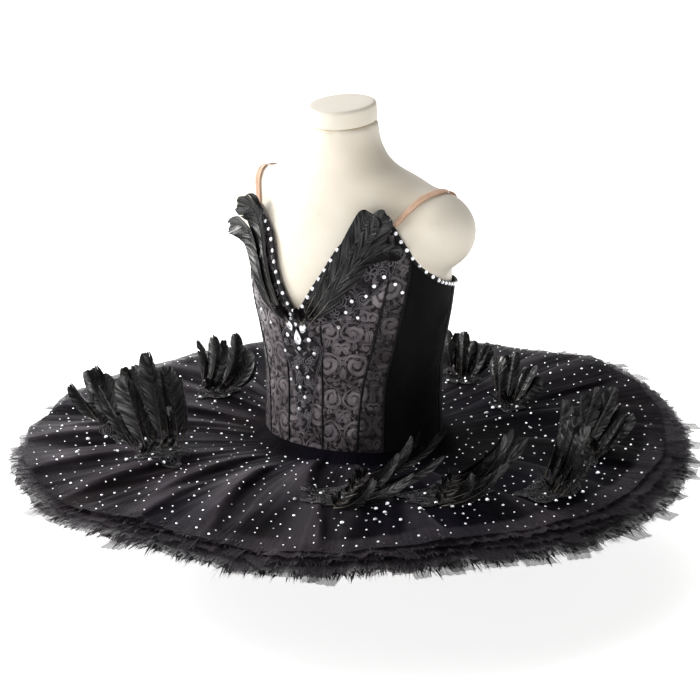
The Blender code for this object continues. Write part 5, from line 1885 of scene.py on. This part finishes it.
def build_skirt_lace(looks):
    made = []
    for number, (deg, r, heading, recline, size) in enumerate(SPRAYS, 1):
        a = math.radians(deg)
        middle = np.array([r * math.sin(a), -r * math.cos(a)])
        radial = np.array([math.sin(a), -math.cos(a)])
        tangent = np.array([math.cos(a), math.sin(a)])
        th = np.linspace(0, 2 * np.pi, 120, endpoint=False)
        rng = np.random.default_rng(900 + number)
        reach = 0.040 * size * (1 + 0.16 * np.cos(5 * th) + 0.05 * np.cos(9 * th + rng.uniform(0, 6)))

        def spot(ring):
            x = reach * ring * 1.25 * np.cos(th)
            y = reach * ring * 0.8 * np.sin(th)
            return middle + x[:, None] * tangent + y[:, None] * radial

        def lay(points, lift):
            return on_plate(points[:, 0], points[:, 1], 0.0012 + lift)

        rings = np.linspace(0.06, 1.0, 14)
        grid = np.stack([spot(ring) for ring in rings])
        lace = Lace(f"lace_skirt_{number}", grid, True, lay, 50 + number, looks)
        lace.fill(grid[-1], 0.0118, 0.0046, 0.0074)
        made.append(lace.finish())
    return made


# ------------------------------------------------------------- feathers
def bezier(root, bow, tip, s):
    s = np.asarray(s, float)[:, None]
    p = root * (1 - s) ** 2 + bow * (2 * s * (1 - s)) + tip * s * s
    d = root * (-2 * (1 - s)) + bow * (2 - 4 * s) + tip * (2 * s)
    return p, unit(d)


VANE = ((0.0, 0.10), (0.10, 0.27), (0.25, 0.60), (0.45, 0.88), (0.65, 1.00), (0.82, 0.99), (0.91, 0.86), (0.965, 0.62), (1.0, 0.30))


def bezier_path(root, bow, tip, face, steps=25):
    """Line, direction and breadth of a feather that lies on one curve."""
    line, along = bezier(*(np.asarray(v, float) for v in (root, bow, tip)), np.linspace(0, 1, steps))
    return line, along, unit(np.cross(along, np.asarray(face, float)))


def pinned_path(rows, steps=27):
    """The same for a feather that lies along the bodice: rows of angle, height and distance out."""
    table = [(float(i), *row) for i, row in enumerate(rows)]
    at = np.linspace(0, len(rows) - 1, steps)
    deg, z, out = (curve_at(table, at, column) for column in (1, 2, 3))
    line = on_form(deg, z, out)
    normal = form_normal(deg, z)
    along = unit(np.gradient(line, axis=0))
    return line, along, unit(np.cross(along, normal))


def arc_path(root, up, over, length, lean, sickle, twist=0.0, turn=0.0, steps=25):
    """The same for a feather that leans over more and more, and is sickle shaped in its own plane."""
    s = np.linspace(0, 1, steps)[:, None]
    aside = np.cross(up, over)
    a, b = np.radians(lean) * s**1.6, np.radians(sickle) * s**1.3
    along = (up * np.cos(a) + over * np.sin(a)) * np.cos(b) + aside * np.sin(b)
    step = (along[1:] + along[:-1]) / 2 * length / (steps - 1)
    line = root + np.concatenate([np.zeros((1, 3)), np.cumsum(step, 0)])
    wide = unit(np.cross(along, over * np.cos(a) - up * np.sin(a)))
    out = np.cross(wide, along)
    t = np.radians(turn) + np.radians(twist) * (s - 0.2)
    return line, along, unit(wide * np.cos(t) + out * np.sin(t))


def feather(vanes, quills, path, width, rng, cup=0.30, torn=0.5, fine=1.0, bias=0.9, point=0.0):
    """One feather: a tapered quill, and on each side a vane of barbs that cling together.

    Each row of the vane is one barb; rows part only where the vane is split.
    """
    line, way, breadth = path
    knots = np.linspace(0, 1, len(line))
    length = np.linalg.norm(np.diff(line, axis=0), axis=1).sum()

    def at(s):
        def pick(rows):
            return np.stack([np.interp(s, knots, rows[:, i]) for i in range(3)], -1)

        along, wide = unit(pick(way)), pick(breadth)
        wide = unit(wide - along * (wide * along).sum(-1, keepdims=True))
        return pick(line), wide, np.cross(wide, along)

    end = 0.85
    main, fan = int((12 + 330 * length) * fine), max(4, int(9 * fine))
    start = np.concatenate([np.linspace(0.05, end, main), np.full(fan, end)])
    spread = np.concatenate([np.ones(main), np.linspace(1, 0, fan + 1)[1:]])
    n = main + fan
    t = np.array([0.0, 0.14, 0.34, 0.58, 0.80, 1.0])
    across = np.arange(n) * 0.05 + len(vanes.verts) * 37.0
    for side in (-1.0, 1.0):
        ids, k, i, splits = np.zeros(n, int), 0, 0, []
        while i < n:
            size = int(rng.integers(6, 20))
            ids[i : i + size] = k
            i += size
            k += 1
            if i < n - 1:
                splits.append((i - 1, rng.choice((2.0, 0.80, 0.58, 0.34), p=(0.62, 0.20, 0.13, 0.05))))
        middle = np.array([start[ids == j].mean() for j in range(k)])
        drift = (rng.normal(0, 0.006, k) * torn)[ids]
        lift = rng.normal(0, 0.07 * torn, k)[ids]
        late = np.clip((middle - 0.55) / 0.3, 0, 1)
        short = (rng.uniform(0, 0.55, k) * torn * late * (rng.uniform(0, 1, k) < 0.7))[ids]
        # short nicks of one to three barbs along the blunt end
        nick = np.repeat(rng.uniform(0, 0.35, n), rng.integers(1, 4, n))[:n] * torn
        short = short + nick * np.clip((np.arange(n) - main + 5) / 5, 0, 1)
        s = start[:, None] + (1 - end) * (1 - short[:, None]) * t**1.15 + drift[:, None] * t**2
        closed = np.ones((n - 1, len(t) - 1), bool)
        for row, depth in splits:
            if depth > 1:
                continue
            closed[row, t[1:] > depth + 1e-6] = False
            gap = rng.uniform(0.004, 0.016) * (0.4 + torn)
            ramp = np.clip((t - depth) / (1 - depth), 0, 1)
            for step, share in enumerate((1.0, 0.66, 0.36, 0.12)):
                if row - step >= 0:
                    s[row - step] -= gap * ramp * share
                if row + 1 + step < n:
                    s[row + 1 + step] += gap * ramp * share * 0.6
        s = np.clip(s, 0, 1)
        u = spread[:, None] * t
        p, wide, out = at(s)
        half = (curve_at(VANE, s, 1) * (1 - point * s**3) * width / 2 * (bias if side > 0 else 2 - bias))[..., None]
        rise = cup * u**2 + 0.10 * u + lift[:, None] * t**3
        verts = p + wide * side * (u[..., None] * half) + out * half * rise[..., None]
        low = (np.arange(n - 1) * len(t))[:, None] + np.arange(len(t) - 1)[None, :]
        quad = np.stack([low, low + 1, low + len(t) + 1, low + len(t)], -1)[closed]
        if side > 0:
            quad = quad[:, ::-1]
        vanes.add(verts, quad, np.stack(np.broadcast_arrays(across[:, None], t[None, :]), -1))
        # loose barbs low down, where the vane turns to down
        stray = rng.choice(main, size=max(2, int(main * 0.18)), replace=False)
        stray = stray[rng.uniform(0, 1, len(stray)) > start[stray] - 0.05]
        if len(stray):
            edge = verts[stray]
            foot, push = edge[:, -2], edge[:, -1] - edge[:, -2]
            tip_at = edge[:, -1] + push * rng.uniform(0.1, 0.9, len(stray))[:, None]
            q = unit(np.cross(push, out[stray, -1])) * 0.0003
            tri = np.stack([foot - q, foot + q, tip_at], 1).reshape(-1, 3)
            mark = np.repeat(np.stack([across[stray], 0 * across[stray] + 0.9], -1), 3, axis=0)
            vanes.add(tri, np.arange(len(tri)).reshape(-1, 3), mark)
    q_s = np.linspace(0.0, 0.88, 14)
    q_line, _, q_out = at(q_s)
    tube(quills, q_line + q_out * 0.0002, 0.00080 - 0.00066 * (q_s / 0.88) ** 0.6, 5, q_out)
    quills.uv[-1][:, 1] = quills.uv[-1][:, 1] / max(length, 1e-6)


# The feathers of a full spray, laid like shingles along a short line
PLUMES = (
    # aside   front    fan   lean  sickle twist length width cup
    (-0.0250, 0.0006, -24.0, 36.0, 10.0, -26.0, 0.096, 0.026, 0.42),
    (-0.0170, -0.0024, -16.0, 26.0, 16.0, 22.0, 0.112, 0.028, -0.36),
    (-0.0085, 0.0014, -10.0, 38.0, 8.0, -20.0, 0.106, 0.026, 0.44),
    (-0.0005, -0.0032, -2.0, 22.0, 18.0, 24.0, 0.124, 0.030, 0.38),
    (0.0080, 0.0008, 3.0, 36.0, 10.0, -22.0, 0.112, 0.027, -0.40),
    (0.0165, -0.0026, 9.0, 24.0, 20.0, 20.0, 0.118, 0.030, 0.42),
    (0.0245, 0.0002, 17.0, 34.0, 14.0, -24.0, 0.100, 0.026, 0.40),
    (-0.0150, 0.0066, -14.0, 40.0, 6.0, 16.0, 0.054, 0.025, 0.34),
    (0.0010, 0.0078, 0.0, 48.0, -6.0, -12.0, 0.048, 0.025, 0.34),
    (0.0165, 0.0062, 14.0, 38.0, 8.0, 18.0, 0.056, 0.024, 0.34),
)
HABIT = {
    # spray: how much farther it reclines, share of the lean, added sickle, width, spread of the roots,
    # swing of the fan, turn of the faces, how far the tips swing back upright
    2: (10.0, 0.5, 16.0, 0.78, 0.9, -34.0, 0.0, 0.5),
    3: (34.0, -0.4, 2.0, 0.90, 1.3, 0.0, 0.0, 0.55),
    4: (18.0, -0.3, -2.0, 0.94, 1.35, -6.0, 0.0, 0.70),
    5: (36.0, -1.5, 16.0, 0.62, 1.6, 0.0, 66.0, 0.0),
    6: (40.0, -1.5, 10.0, 0.66, 1.6, 0.0, 66.0, 0.0),
    7: (12.0, -0.6, -6.0, 1.05, 1.3, 0.0, 40.0, 0.0),
    8: (4.0, 0.2, -10.0, 1.05, 1.0, 0.0, 18.0, 0.0),
}


SHORTER = {2: 0.92, 3: 0.84, 4: 0.97}


def build_skirt_feathers(lit_look, vane_look, quill_material):
    made = []
    z_up = np.array([0.0, 0.0, 1.0])
    for number, (deg, r, heading, recline, size) in enumerate(SPRAYS, 1):
        rng = np.random.default_rng(1200 + number)
        more_back, lean_share, more_sickle, broad, spread, swing, turn, upright = HABIT.get(number, (0.0, 1.0, 0.0, 1.0, 1.0, 0.0, 0.0, 0.0))
        a = math.radians(deg)
        x, y = r * math.sin(a), -r * math.cos(a)
        h = math.radians(heading)
        out = np.array([math.sin(h), -math.cos(h), 0.0])
        tangent = np.array([-out[1], out[0], 0.0])
        vanes, quills = Batch(), Batch()
        for row in PLUMES:
            aside, front, fan, lean, sickle, twist, length, width, cup = row
            aside = aside * spread * (0.4 + 0.6 * size) + rng.normal(0, 0.0012)
            back = math.radians(recline + more_back + rng.normal(0, 4.0))
            fan = math.radians(fan * 1.15 + swing + rng.normal(0, 3.0))
            up = z_up * math.cos(back) + out * math.sin(back)
            over = out * math.cos(back) - z_up * math.sin(back)
            rise = up * math.cos(fan) + tangent * math.sin(fan)
            plan = np.array([x, y]) + tangent[:2] * aside + out[:2] * front
            ground, _ = on_plate(plan[:1], plan[1:], 0.0)
            root = np.array([plan[0], plan[1], ground[0, 2] + 0.0032]) + rise * 0.003
            long = length * size * (1 + rng.uniform(-0.17, 0.07)) * SHORTER.get(number, 1.0)
            cup = cup * (0.55 if number in (5, 6) else 1.0)
            lean = lean * lean_share + rng.normal(0, 9.0 if number in (3, 4) else 5.0)
            sickle = sickle * (1 - 0.6 * upright) + more_sickle - upright * math.degrees(fan) * 0.9 + rng.normal(0, 5.0)
            path = arc_path(root, rise, over, long, lean, sickle, twist + rng.normal(0, 14.0), turn + (rng.normal(0, 9.0) if turn else 0.0))
            wide = width * (0.45 + 0.55 * size) * broad * rng.uniform(0.82, 1.10)
            feather(vanes, quills, path, wide, rng, cup, 0.38, 1.0, rng.choice((0.82, 1.18)), 0.70 if number in (5, 6) else 0.25)
        # short down round the roots
        for _ in range(12):
            f = rng.uniform(-1.2, 1.2)
            rise = unit(z_up + tangent * math.sin(f) + out * rng.uniform(-0.5, 0.7))
            plan = np.array([x, y]) + tangent[:2] * rng.uniform(-0.024, 0.024) * spread * size + out[:2] * rng.uniform(-0.003, 0.006)
            ground, _ = on_plate(plan[:1], plan[1:], 0.0)
            root = np.array([plan[0], plan[1], ground[0, 2] + 0.0022])
            side_on = unit(np.cross(rise, tangent + out * 0.3))
            path = arc_path(root, rise, side_on, rng.uniform(0.012, 0.022) * (0.5 + 0.5 * size), 30.0, 10.0)
            feather(vanes, quills, path, 0.008, rng, 0.2, 1.2, 0.6)
        # sprays 1 to 4, on the lit side, take a lit copy of the feather finish: glossier, with fewer pale barbs, for
        # stronger highlights there
        look = lit_look if number <= 4 else vane_look
        made.append(vanes.make(f"feathers_skirt_{number}_vanes", look, "feather", node=f"feathers_skirt_{number}"))
        made.append(quills.make(f"feathers_skirt_{number}_quills", quill_material, "feather"))
    return made


# Neck feathers as the wearer has them, along the bodice: angle, height and distance out
NECK_RIGHT = (
    # width  cup
    (0.027, 0.16, ((-5.0, 0.288, 0.0085), (-13.0, 0.310, 0.0072), (-21.0, 0.336, 0.0066), (-28.0, 0.361, 0.0066), (-35.0, 0.384, 0.0085), (-43.0, 0.399, 0.0165), (-53.0, 0.400, 0.0300))),
    (0.024, 0.20, ((-8.0, 0.283, 0.0100), (-17.0, 0.304, 0.0085), (-26.0, 0.330, 0.0076), (-34.0, 0.352, 0.0078), (-42.0, 0.369, 0.0110), (-51.0, 0.376, 0.0210), (-61.0, 0.370, 0.0340))),
    (0.020, -0.10, ((-6.0, 0.290, 0.0060), (-15.0, 0.318, 0.0056), (-24.0, 0.348, 0.0056), (-32.0, 0.376, 0.0060), (-39.0, 0.396, 0.0080), (-45.0, 0.406, 0.0150), (-50.0, 0.405, 0.0230))),
)
NECK_LEFT = (
    (0.030, 0.14, ((5.0, 0.288, 0.0085), (13.0, 0.310, 0.0078), (21.0, 0.338, 0.0072), (28.0, 0.367, 0.0074), (34.0, 0.392, 0.0090), (38.5, 0.408, 0.0130), (41.0, 0.415, 0.0180))),
    (0.026, -0.12, ((7.0, 0.285, 0.0105), (16.0, 0.306, 0.0098), (26.0, 0.335, 0.0092), (35.0, 0.366, 0.0096), (42.0, 0.392, 0.0120), (46.5, 0.408, 0.0170), (50.0, 0.414, 0.0240))),
    (0.018, 0.16, ((24.0, 0.330, 0.0080), (32.0, 0.353, 0.0090), (41.0, 0.371, 0.0100), (50.0, 0.376, 0.0115), (57.0, 0.370, 0.0140))),
    (0.018, 0.10, ((4.5, 0.292, 0.0062), (11.0, 0.318, 0.0058), (19.0, 0.345, 0.0056), (27.0, 0.374, 0.0060), (33.0, 0.394, 0.0080), (36.0, 0.404, 0.0110))),
)


def build_neck_feathers(vane_look, quill_material):
    made = []
    for word, rows, x in (("right", NECK_RIGHT, -0.0085), ("left", NECK_LEFT, 0.0085)):
        rng = np.random.default_rng(1500 + (x > 0))
        deg = math.degrees(math.asin(x / 0.115))
        centre = on_form(deg, 0.2995, 0.0100)
        way = 1.0 if x > 0 else -1.0
        vanes, quills = Batch(), Batch()
        for width, cup, pins in rows:
            path = pinned_path(pins)
            feather(vanes, quills, path, width, rng, cup, 0.42, 1.1, 1.0 + 0.12 * way)
        for _ in range(10):
            a = rng.uniform(-0.4, 0.9) * way
            rise = unit(np.array([math.sin(a) * 0.6, -0.16, math.cos(a)]))
            over = unit(np.cross(np.cross(rise, np.array([0.0, -1.0, 0.0])), rise))
            path = arc_path(centre + np.array([0.0035, -0.001, -0.010]), rise, over, rng.uniform(0.014, 0.026), 25.0, rng.normal(0, 14.0))
            feather(vanes, quills, path, 0.010, rng, 0.2, 1.2, 0.6)
        made.append(vanes.make(f"feathers_neck_{word}_vanes", vane_look, "feather", node=f"feathers_neck_{word}"))
        made.append(quills.make(f"feathers_neck_{word}_quills", quill_material, "feather"))
    return made


# ------------------------------------------------------------- jewels
class Eye:
    """Finds the point of the cloth that shows at a place in the picture's frame."""

    def __init__(self, camera, objects):
        self.camera = camera
        depsgraph = bpy.context.evaluated_depsgraph_get()
        verts, faces, shift = [], [], 0
        for obj in objects:
            mesh = obj.evaluated_get(depsgraph).to_mesh()
            verts += [v.co.copy() for v in mesh.vertices]
            faces += [[i + shift for i in p.vertices] for p in mesh.polygons]
            shift += len(mesh.vertices)
            obj.evaluated_get(depsgraph).to_mesh_clear()
        self.tree = BVHTree.FromPolygons(verts, faces)

    def look(self, px, py):
        focal = 860.0 * 2.6
        turn = self.camera.rotation_euler.to_matrix()
        way = (turn @ Vector(((px - 350.0) / focal, (350.0 - py) / focal, -1.0))).normalized()
        hit, normal, _, _ = self.tree.ray_cast(self.camera.location, way)
        if hit is None:
            return None, None
        if normal.dot(way) > 0:
            normal = -normal
        return np.array(hit), np.array(normal)


def wired_gem(gems, cups, centre, normal, radius, spin=0.0, sides=8):
    """A round stone in a shallow claw cup."""
    c, sn = math.cos(spin), math.sin(spin)
    p = disc_outline(radius, sides)
    p = np.stack([p[:, 0] * c - p[:, 1] * sn, p[:, 0] * sn + p[:, 1] * c], -1)
    up = (0.0, 0.0, 1.0) if abs(normal[2]) < 0.9 else (0.0, 1.0, 0.0)
    cut_stone(gems, centre, normal, up, p, radius * 0.95, 0.52)
    setting(cups, centre, normal, up, p, radius * 0.80)


def build_edge_stones(stone, metal):
    """Stones along the neckline and the armholes; closer together towards the back."""
    gems, cups = Batch(), Batch()
    rng = np.random.default_rng(1700)
    for start, stop, pitch in ((3.0, 44.0, 0.0130), (55.0, 178.0, 0.0118)):
        for side in (1, -1):
            line, _ = edge_line(start * side, stop * side, 400, 0.0022, 0.0049)
            d = np.concatenate([[0], np.cumsum(np.linalg.norm(np.diff(line, axis=0), axis=1))])
            at = 0.004
            while at < d[-1] - 0.004:
                p = np.array([np.interp(at, d, line[:, i]) for i in range(3)])
                deg = float(angle_of(p[None])[0])
                n = form_normal(np.array([deg]), p[2:3])[0]
                wired_gem(gems, cups, p, unit(n + rng.normal(0, 0.05, 3)), 0.00215 * rng.uniform(0.94, 1.06), rng.uniform(0, 6))
                close = 1.0 if start < 20 else (0.62 if 82.0 < abs(deg) else 0.98)
                at += pitch * close * rng.uniform(0.92, 1.08)
    made = gems.make("edge_stones", stone, "jewel", smooth=False)
    cups.make("edge_stone_cups", metal, "jewel")
    return made


# Places in the 700 by 700 frame of the main view
BODICE_GEMS = (
    (384, 277), (374, 286), (395, 284), (352, 301), (358, 317.5), (339, 327), (366, 296), (402, 292), (346, 312),
    (257.5, 271), (254, 281), (261, 277), (270, 293), (263, 308.5), (272, 322), (280, 309),
    (298, 367), (301, 387), (300, 408.5), (286.4, 350), (315, 353.5), (309, 377), (292, 379), (306, 397),
)
SKIRT_GEMS = (
    (88, 441), (106, 439), (122.5, 431), (126, 442), (146, 441), (141, 453), (136, 460), (153, 457), (150, 462),
    (127, 462), (77, 454), (163, 463), (117, 452), (171, 452),
    (295, 501), (313.5, 487), (321, 495.5), (342, 500), (335, 506), (342.5, 525), (361, 507), (371.5, 505),
    (376, 511), (388, 506), (385, 515), (375.5, 522), (401, 522), (402, 487), (365, 491),
    (425, 496), (436, 505), (452, 509), (470, 507), (487, 502), (463, 516), (420, 511),
    (487, 415), (500, 420), (520, 460), (531, 415), (531, 430), (560, 435), (553, 443), (598, 475),
    (524, 484), (545, 496), (556, 503), (570, 500), (583, 494), (536, 507), (575, 484), (601, 466),
    (200, 399), (215, 404), (229, 397), (222, 389),
)


def build_bodice_stones(eye, stone, metal):
    gems, cups = Batch(), Batch()
    rng = np.random.default_rng(1750)
    for px, py in BODICE_GEMS:
        p, n = eye.look(px, py)
        if p is None:
            continue
        n = unit(n + rng.normal(0, 0.06, 3))
        wired_gem(gems, cups, p + n * 0.0009, n, 0.00205 * rng.uniform(0.85, 1.1), rng.uniform(0, 6))
    made = gems.make("bodice_stones", stone, "jewel", smooth=False)
    cups.make("bodice_stone_cups", metal, "jewel")
    return made


def build_skirt_stones(eye, stone, metal):
    """Larger stones sewn over the lace at the foot of the feathers."""
    gems, cups = Batch(), Batch()
    rng = np.random.default_rng(1760)
    spots = []
    for px, py in SKIRT_GEMS:
        p, _ = eye.look(px, py)
        if p is not None and p[2] < 0.20:
            spots.append((p[0], p[1]))
    for number in (1, 9, 10):
        deg, r, _, _, size = SPRAYS[number - 1]
        a = math.radians(deg)
        for i in range(8):
            turn = i * 2.4 + rng.uniform(-0.3, 0.3)
            reach = 0.036 * size * math.sqrt((i + 1.5) / 9.0)
            spots.append((r * math.sin(a) + reach * math.cos(turn) * 1.15, -r * math.cos(a) + reach * math.sin(turn) * 1.15))
    for x, y in spots:
        p, n = on_plate(np.array([x]), np.array([y]), 0.0024)
        n = unit(n[0] + rng.normal(0, 0.10, 3))
        wired_gem(gems, cups, p[0], n, rng.choice((0.0014, 0.0018, 0.0022)), rng.uniform(0, 6), 7)
    made = gems.make("skirt_stones", stone, "jewel", smooth=False)
    cups.make("skirt_stone_cups", metal, "jewel")
    return made


def build_centre_jewel(stone, metal):
    """The cluster at the point of the neckline: two navettes over a drop, with rounds between."""
    gems, cups = Batch(), Batch()
    mm = 0.001
    z0 = 0.272
    rows = (
        # kind      x      z     width length turn
        ("round", 0.0, 15.6, 4.6, 0, 0),
        ("round", -5.4, 26.0, 4.2, 0, 0), ("round", 0.8, 25.0, 4.2, 0, 0), ("round", -1.6, 31.0, 3.8, 0, 0),
        ("navette", -8.2, 13.4, 8.2, 13.4, 24), ("navette", 8.2, 12.6, 8.2, 13.4, -24),
        ("pear", 0.0, 0.6, 9.8, 18.6, 0),
        ("round", -13.2, 0.4, 5.0, 0, 0), ("round", 13.6, -1.0, 5.0, 0, 0),
        ("round", -5.4, 21.2, 3.4, 0, 0), ("round", 5.6, 20.8, 3.4, 0, 0),
        ("round", 0.0, -13.6, 4.6, 0, 0),
    )
    for kind, x, z, width, length, turn in rows:
        height = z0 + z * mm
        deg = math.degrees(x * mm / 0.105)
        out = CLOTH_GAP + CLOTH + 0.0030
        p = on_form(np.array([deg]), np.array([height]), out)[0]
        n = form_normal(np.array([deg]), np.array([height]))[0]
        if kind == "round":
            outline = disc_outline(width * mm / 2, 10)
        elif kind == "navette":
            outline = navette_outline(width * mm, length * mm, 14, turn)
        else:
            outline = pear_outline(width * mm, length * mm, 16)
        deep = min(width, 7.0) * mm * 0.34
        cut_stone(gems, p, n, (0, 0, 1), outline, deep, 0.5)
        setting(cups, p, n, (0, 0, 1), outline, deep)
    made = gems.make("jewel_centre_stones", stone, "jewel", smooth=False, node="jewel_centre")
    cups.make("jewel_centre_setting", metal, "jewel")
    return made


def build_closure(look):
    """Hooks and bars down the centre back, where the two velvet panels meet."""
    batch = Batch()
    height = 0.148
    while height < 0.312:
        for side in (-1, 1):
            # a bent wire lying on the cloth: the bar on one edge, the hook reaching over from the other
            x0, reach = (0.0068, 0.0036) if side > 0 else (0.0075, 0.0085)
            half = 0.0020 if side > 0 else 0.0011
            t = np.linspace(-1, 1, 13)
            x = side * (x0 - reach * np.clip(1.15 - t * t * t * t, 0, 1))
            z = height + half * np.sin(t * np.pi / 2) + 0.0006 * t
            deg = 180.0 - np.degrees(x / 0.088)
            lift = CLOTH_GAP + CLOTH + 0.0005 + 0.0005 * (1 - t * t)
            tube(batch, on_form(deg, z, lift), 0.00042, 5, form_normal(deg, z))
        height += 0.0182
    return batch.make("closure_hooks", look, "edging")


def declare(panels, braids, straps, layers, fringes, ends, small, under, bodice_lace, skirt_lace):
    """Looks up the size that each cloth piece was cut to; the values are not kept or passed on."""
    for obj in panels:
        wide, tall, area = CUTS[obj.name]
        min(area, wide * tall)
    for obj in braids:
        wide, long, _ = CUTS[obj.name]
    for obj in straps:
        wide, long, _ = CUTS[obj.name]
    for k, (obj, fringe) in enumerate(zip(layers, fringes)):
        wide, inner, _ = CUTS[obj.name]
        area = math.pi / 4 * (wide**2 - inner**2)
        [fringe] + ([ends[k]] if k else [small])
    for obj in under:
        wide, tall, _ = CUTS[obj.name]
    for lace in bodice_lace:
        wide, long, area = CUTS[lace.ground.name]
        min(area, wide * long)
    for lace in skirt_lace:
        wide, long, area = CUTS[lace.ground.name]
        min(area, wide * long)


def main():
    camera = build_stage()
    form = build_form()
    panels = build_bodice()
    braids = list(build_edging().values())
    build_seam_cords()
    straps = build_straps(form)
    fringe = fringe_look("cut_threads")
    layers, fringes, ends = [], [], [None]
    loose = net_look("tulle_ends", 0.60, 0.46, 0.4)
    for k in range(6):
        layers.append(build_layer(k))
        fringes.append(build_fringe(k, fringe))
        if k:
            ends.append(build_ends(k, loose))
    under = build_under()
    looks = {"cord": lace_look("lace_cord"), "ground": ground_look("lace_net")}
    bodice_lace = build_bodice_lace(looks)
    skirt_lace = build_skirt_lace({"cord": lace_look("skirt_lace_cord", 0.42), "ground": looks["ground"]})
    vane, quill = feather_look("feather_vane", 0.9, 0.6), quill_look("feather_quill")
    build_skirt_feathers(feather_look("feather_vane_glossy", 1.9, 0.4), vane, quill)
    build_neck_feathers(feather_look("feather_neck_vane", 0.55, 0.5), quill)
    stone, metal = stone_look("clear_stone"), silver_look("silvered_cup")
    build_edge_stones(stone, metal)
    build_centre_jewel(stone, metal)
    build_bodice_stones(Eye(camera, panels + [lace.ground for lace in bodice_lace]), stone, metal)
    build_skirt_stones(Eye(camera, layers[:1]), stone, metal)
    taken = [(r * math.sin(math.radians(deg)), -r * math.cos(math.radians(deg)), 0.036 * size) for deg, r, _, _, size in SPRAYS]
    small = build_plate_stones(stone, taken)
    build_closure(silver_look("hook_wire"))
    declare(panels, braids, straps, layers, fringes, ends, small, under, bodice_lace, skirt_lace)


main()
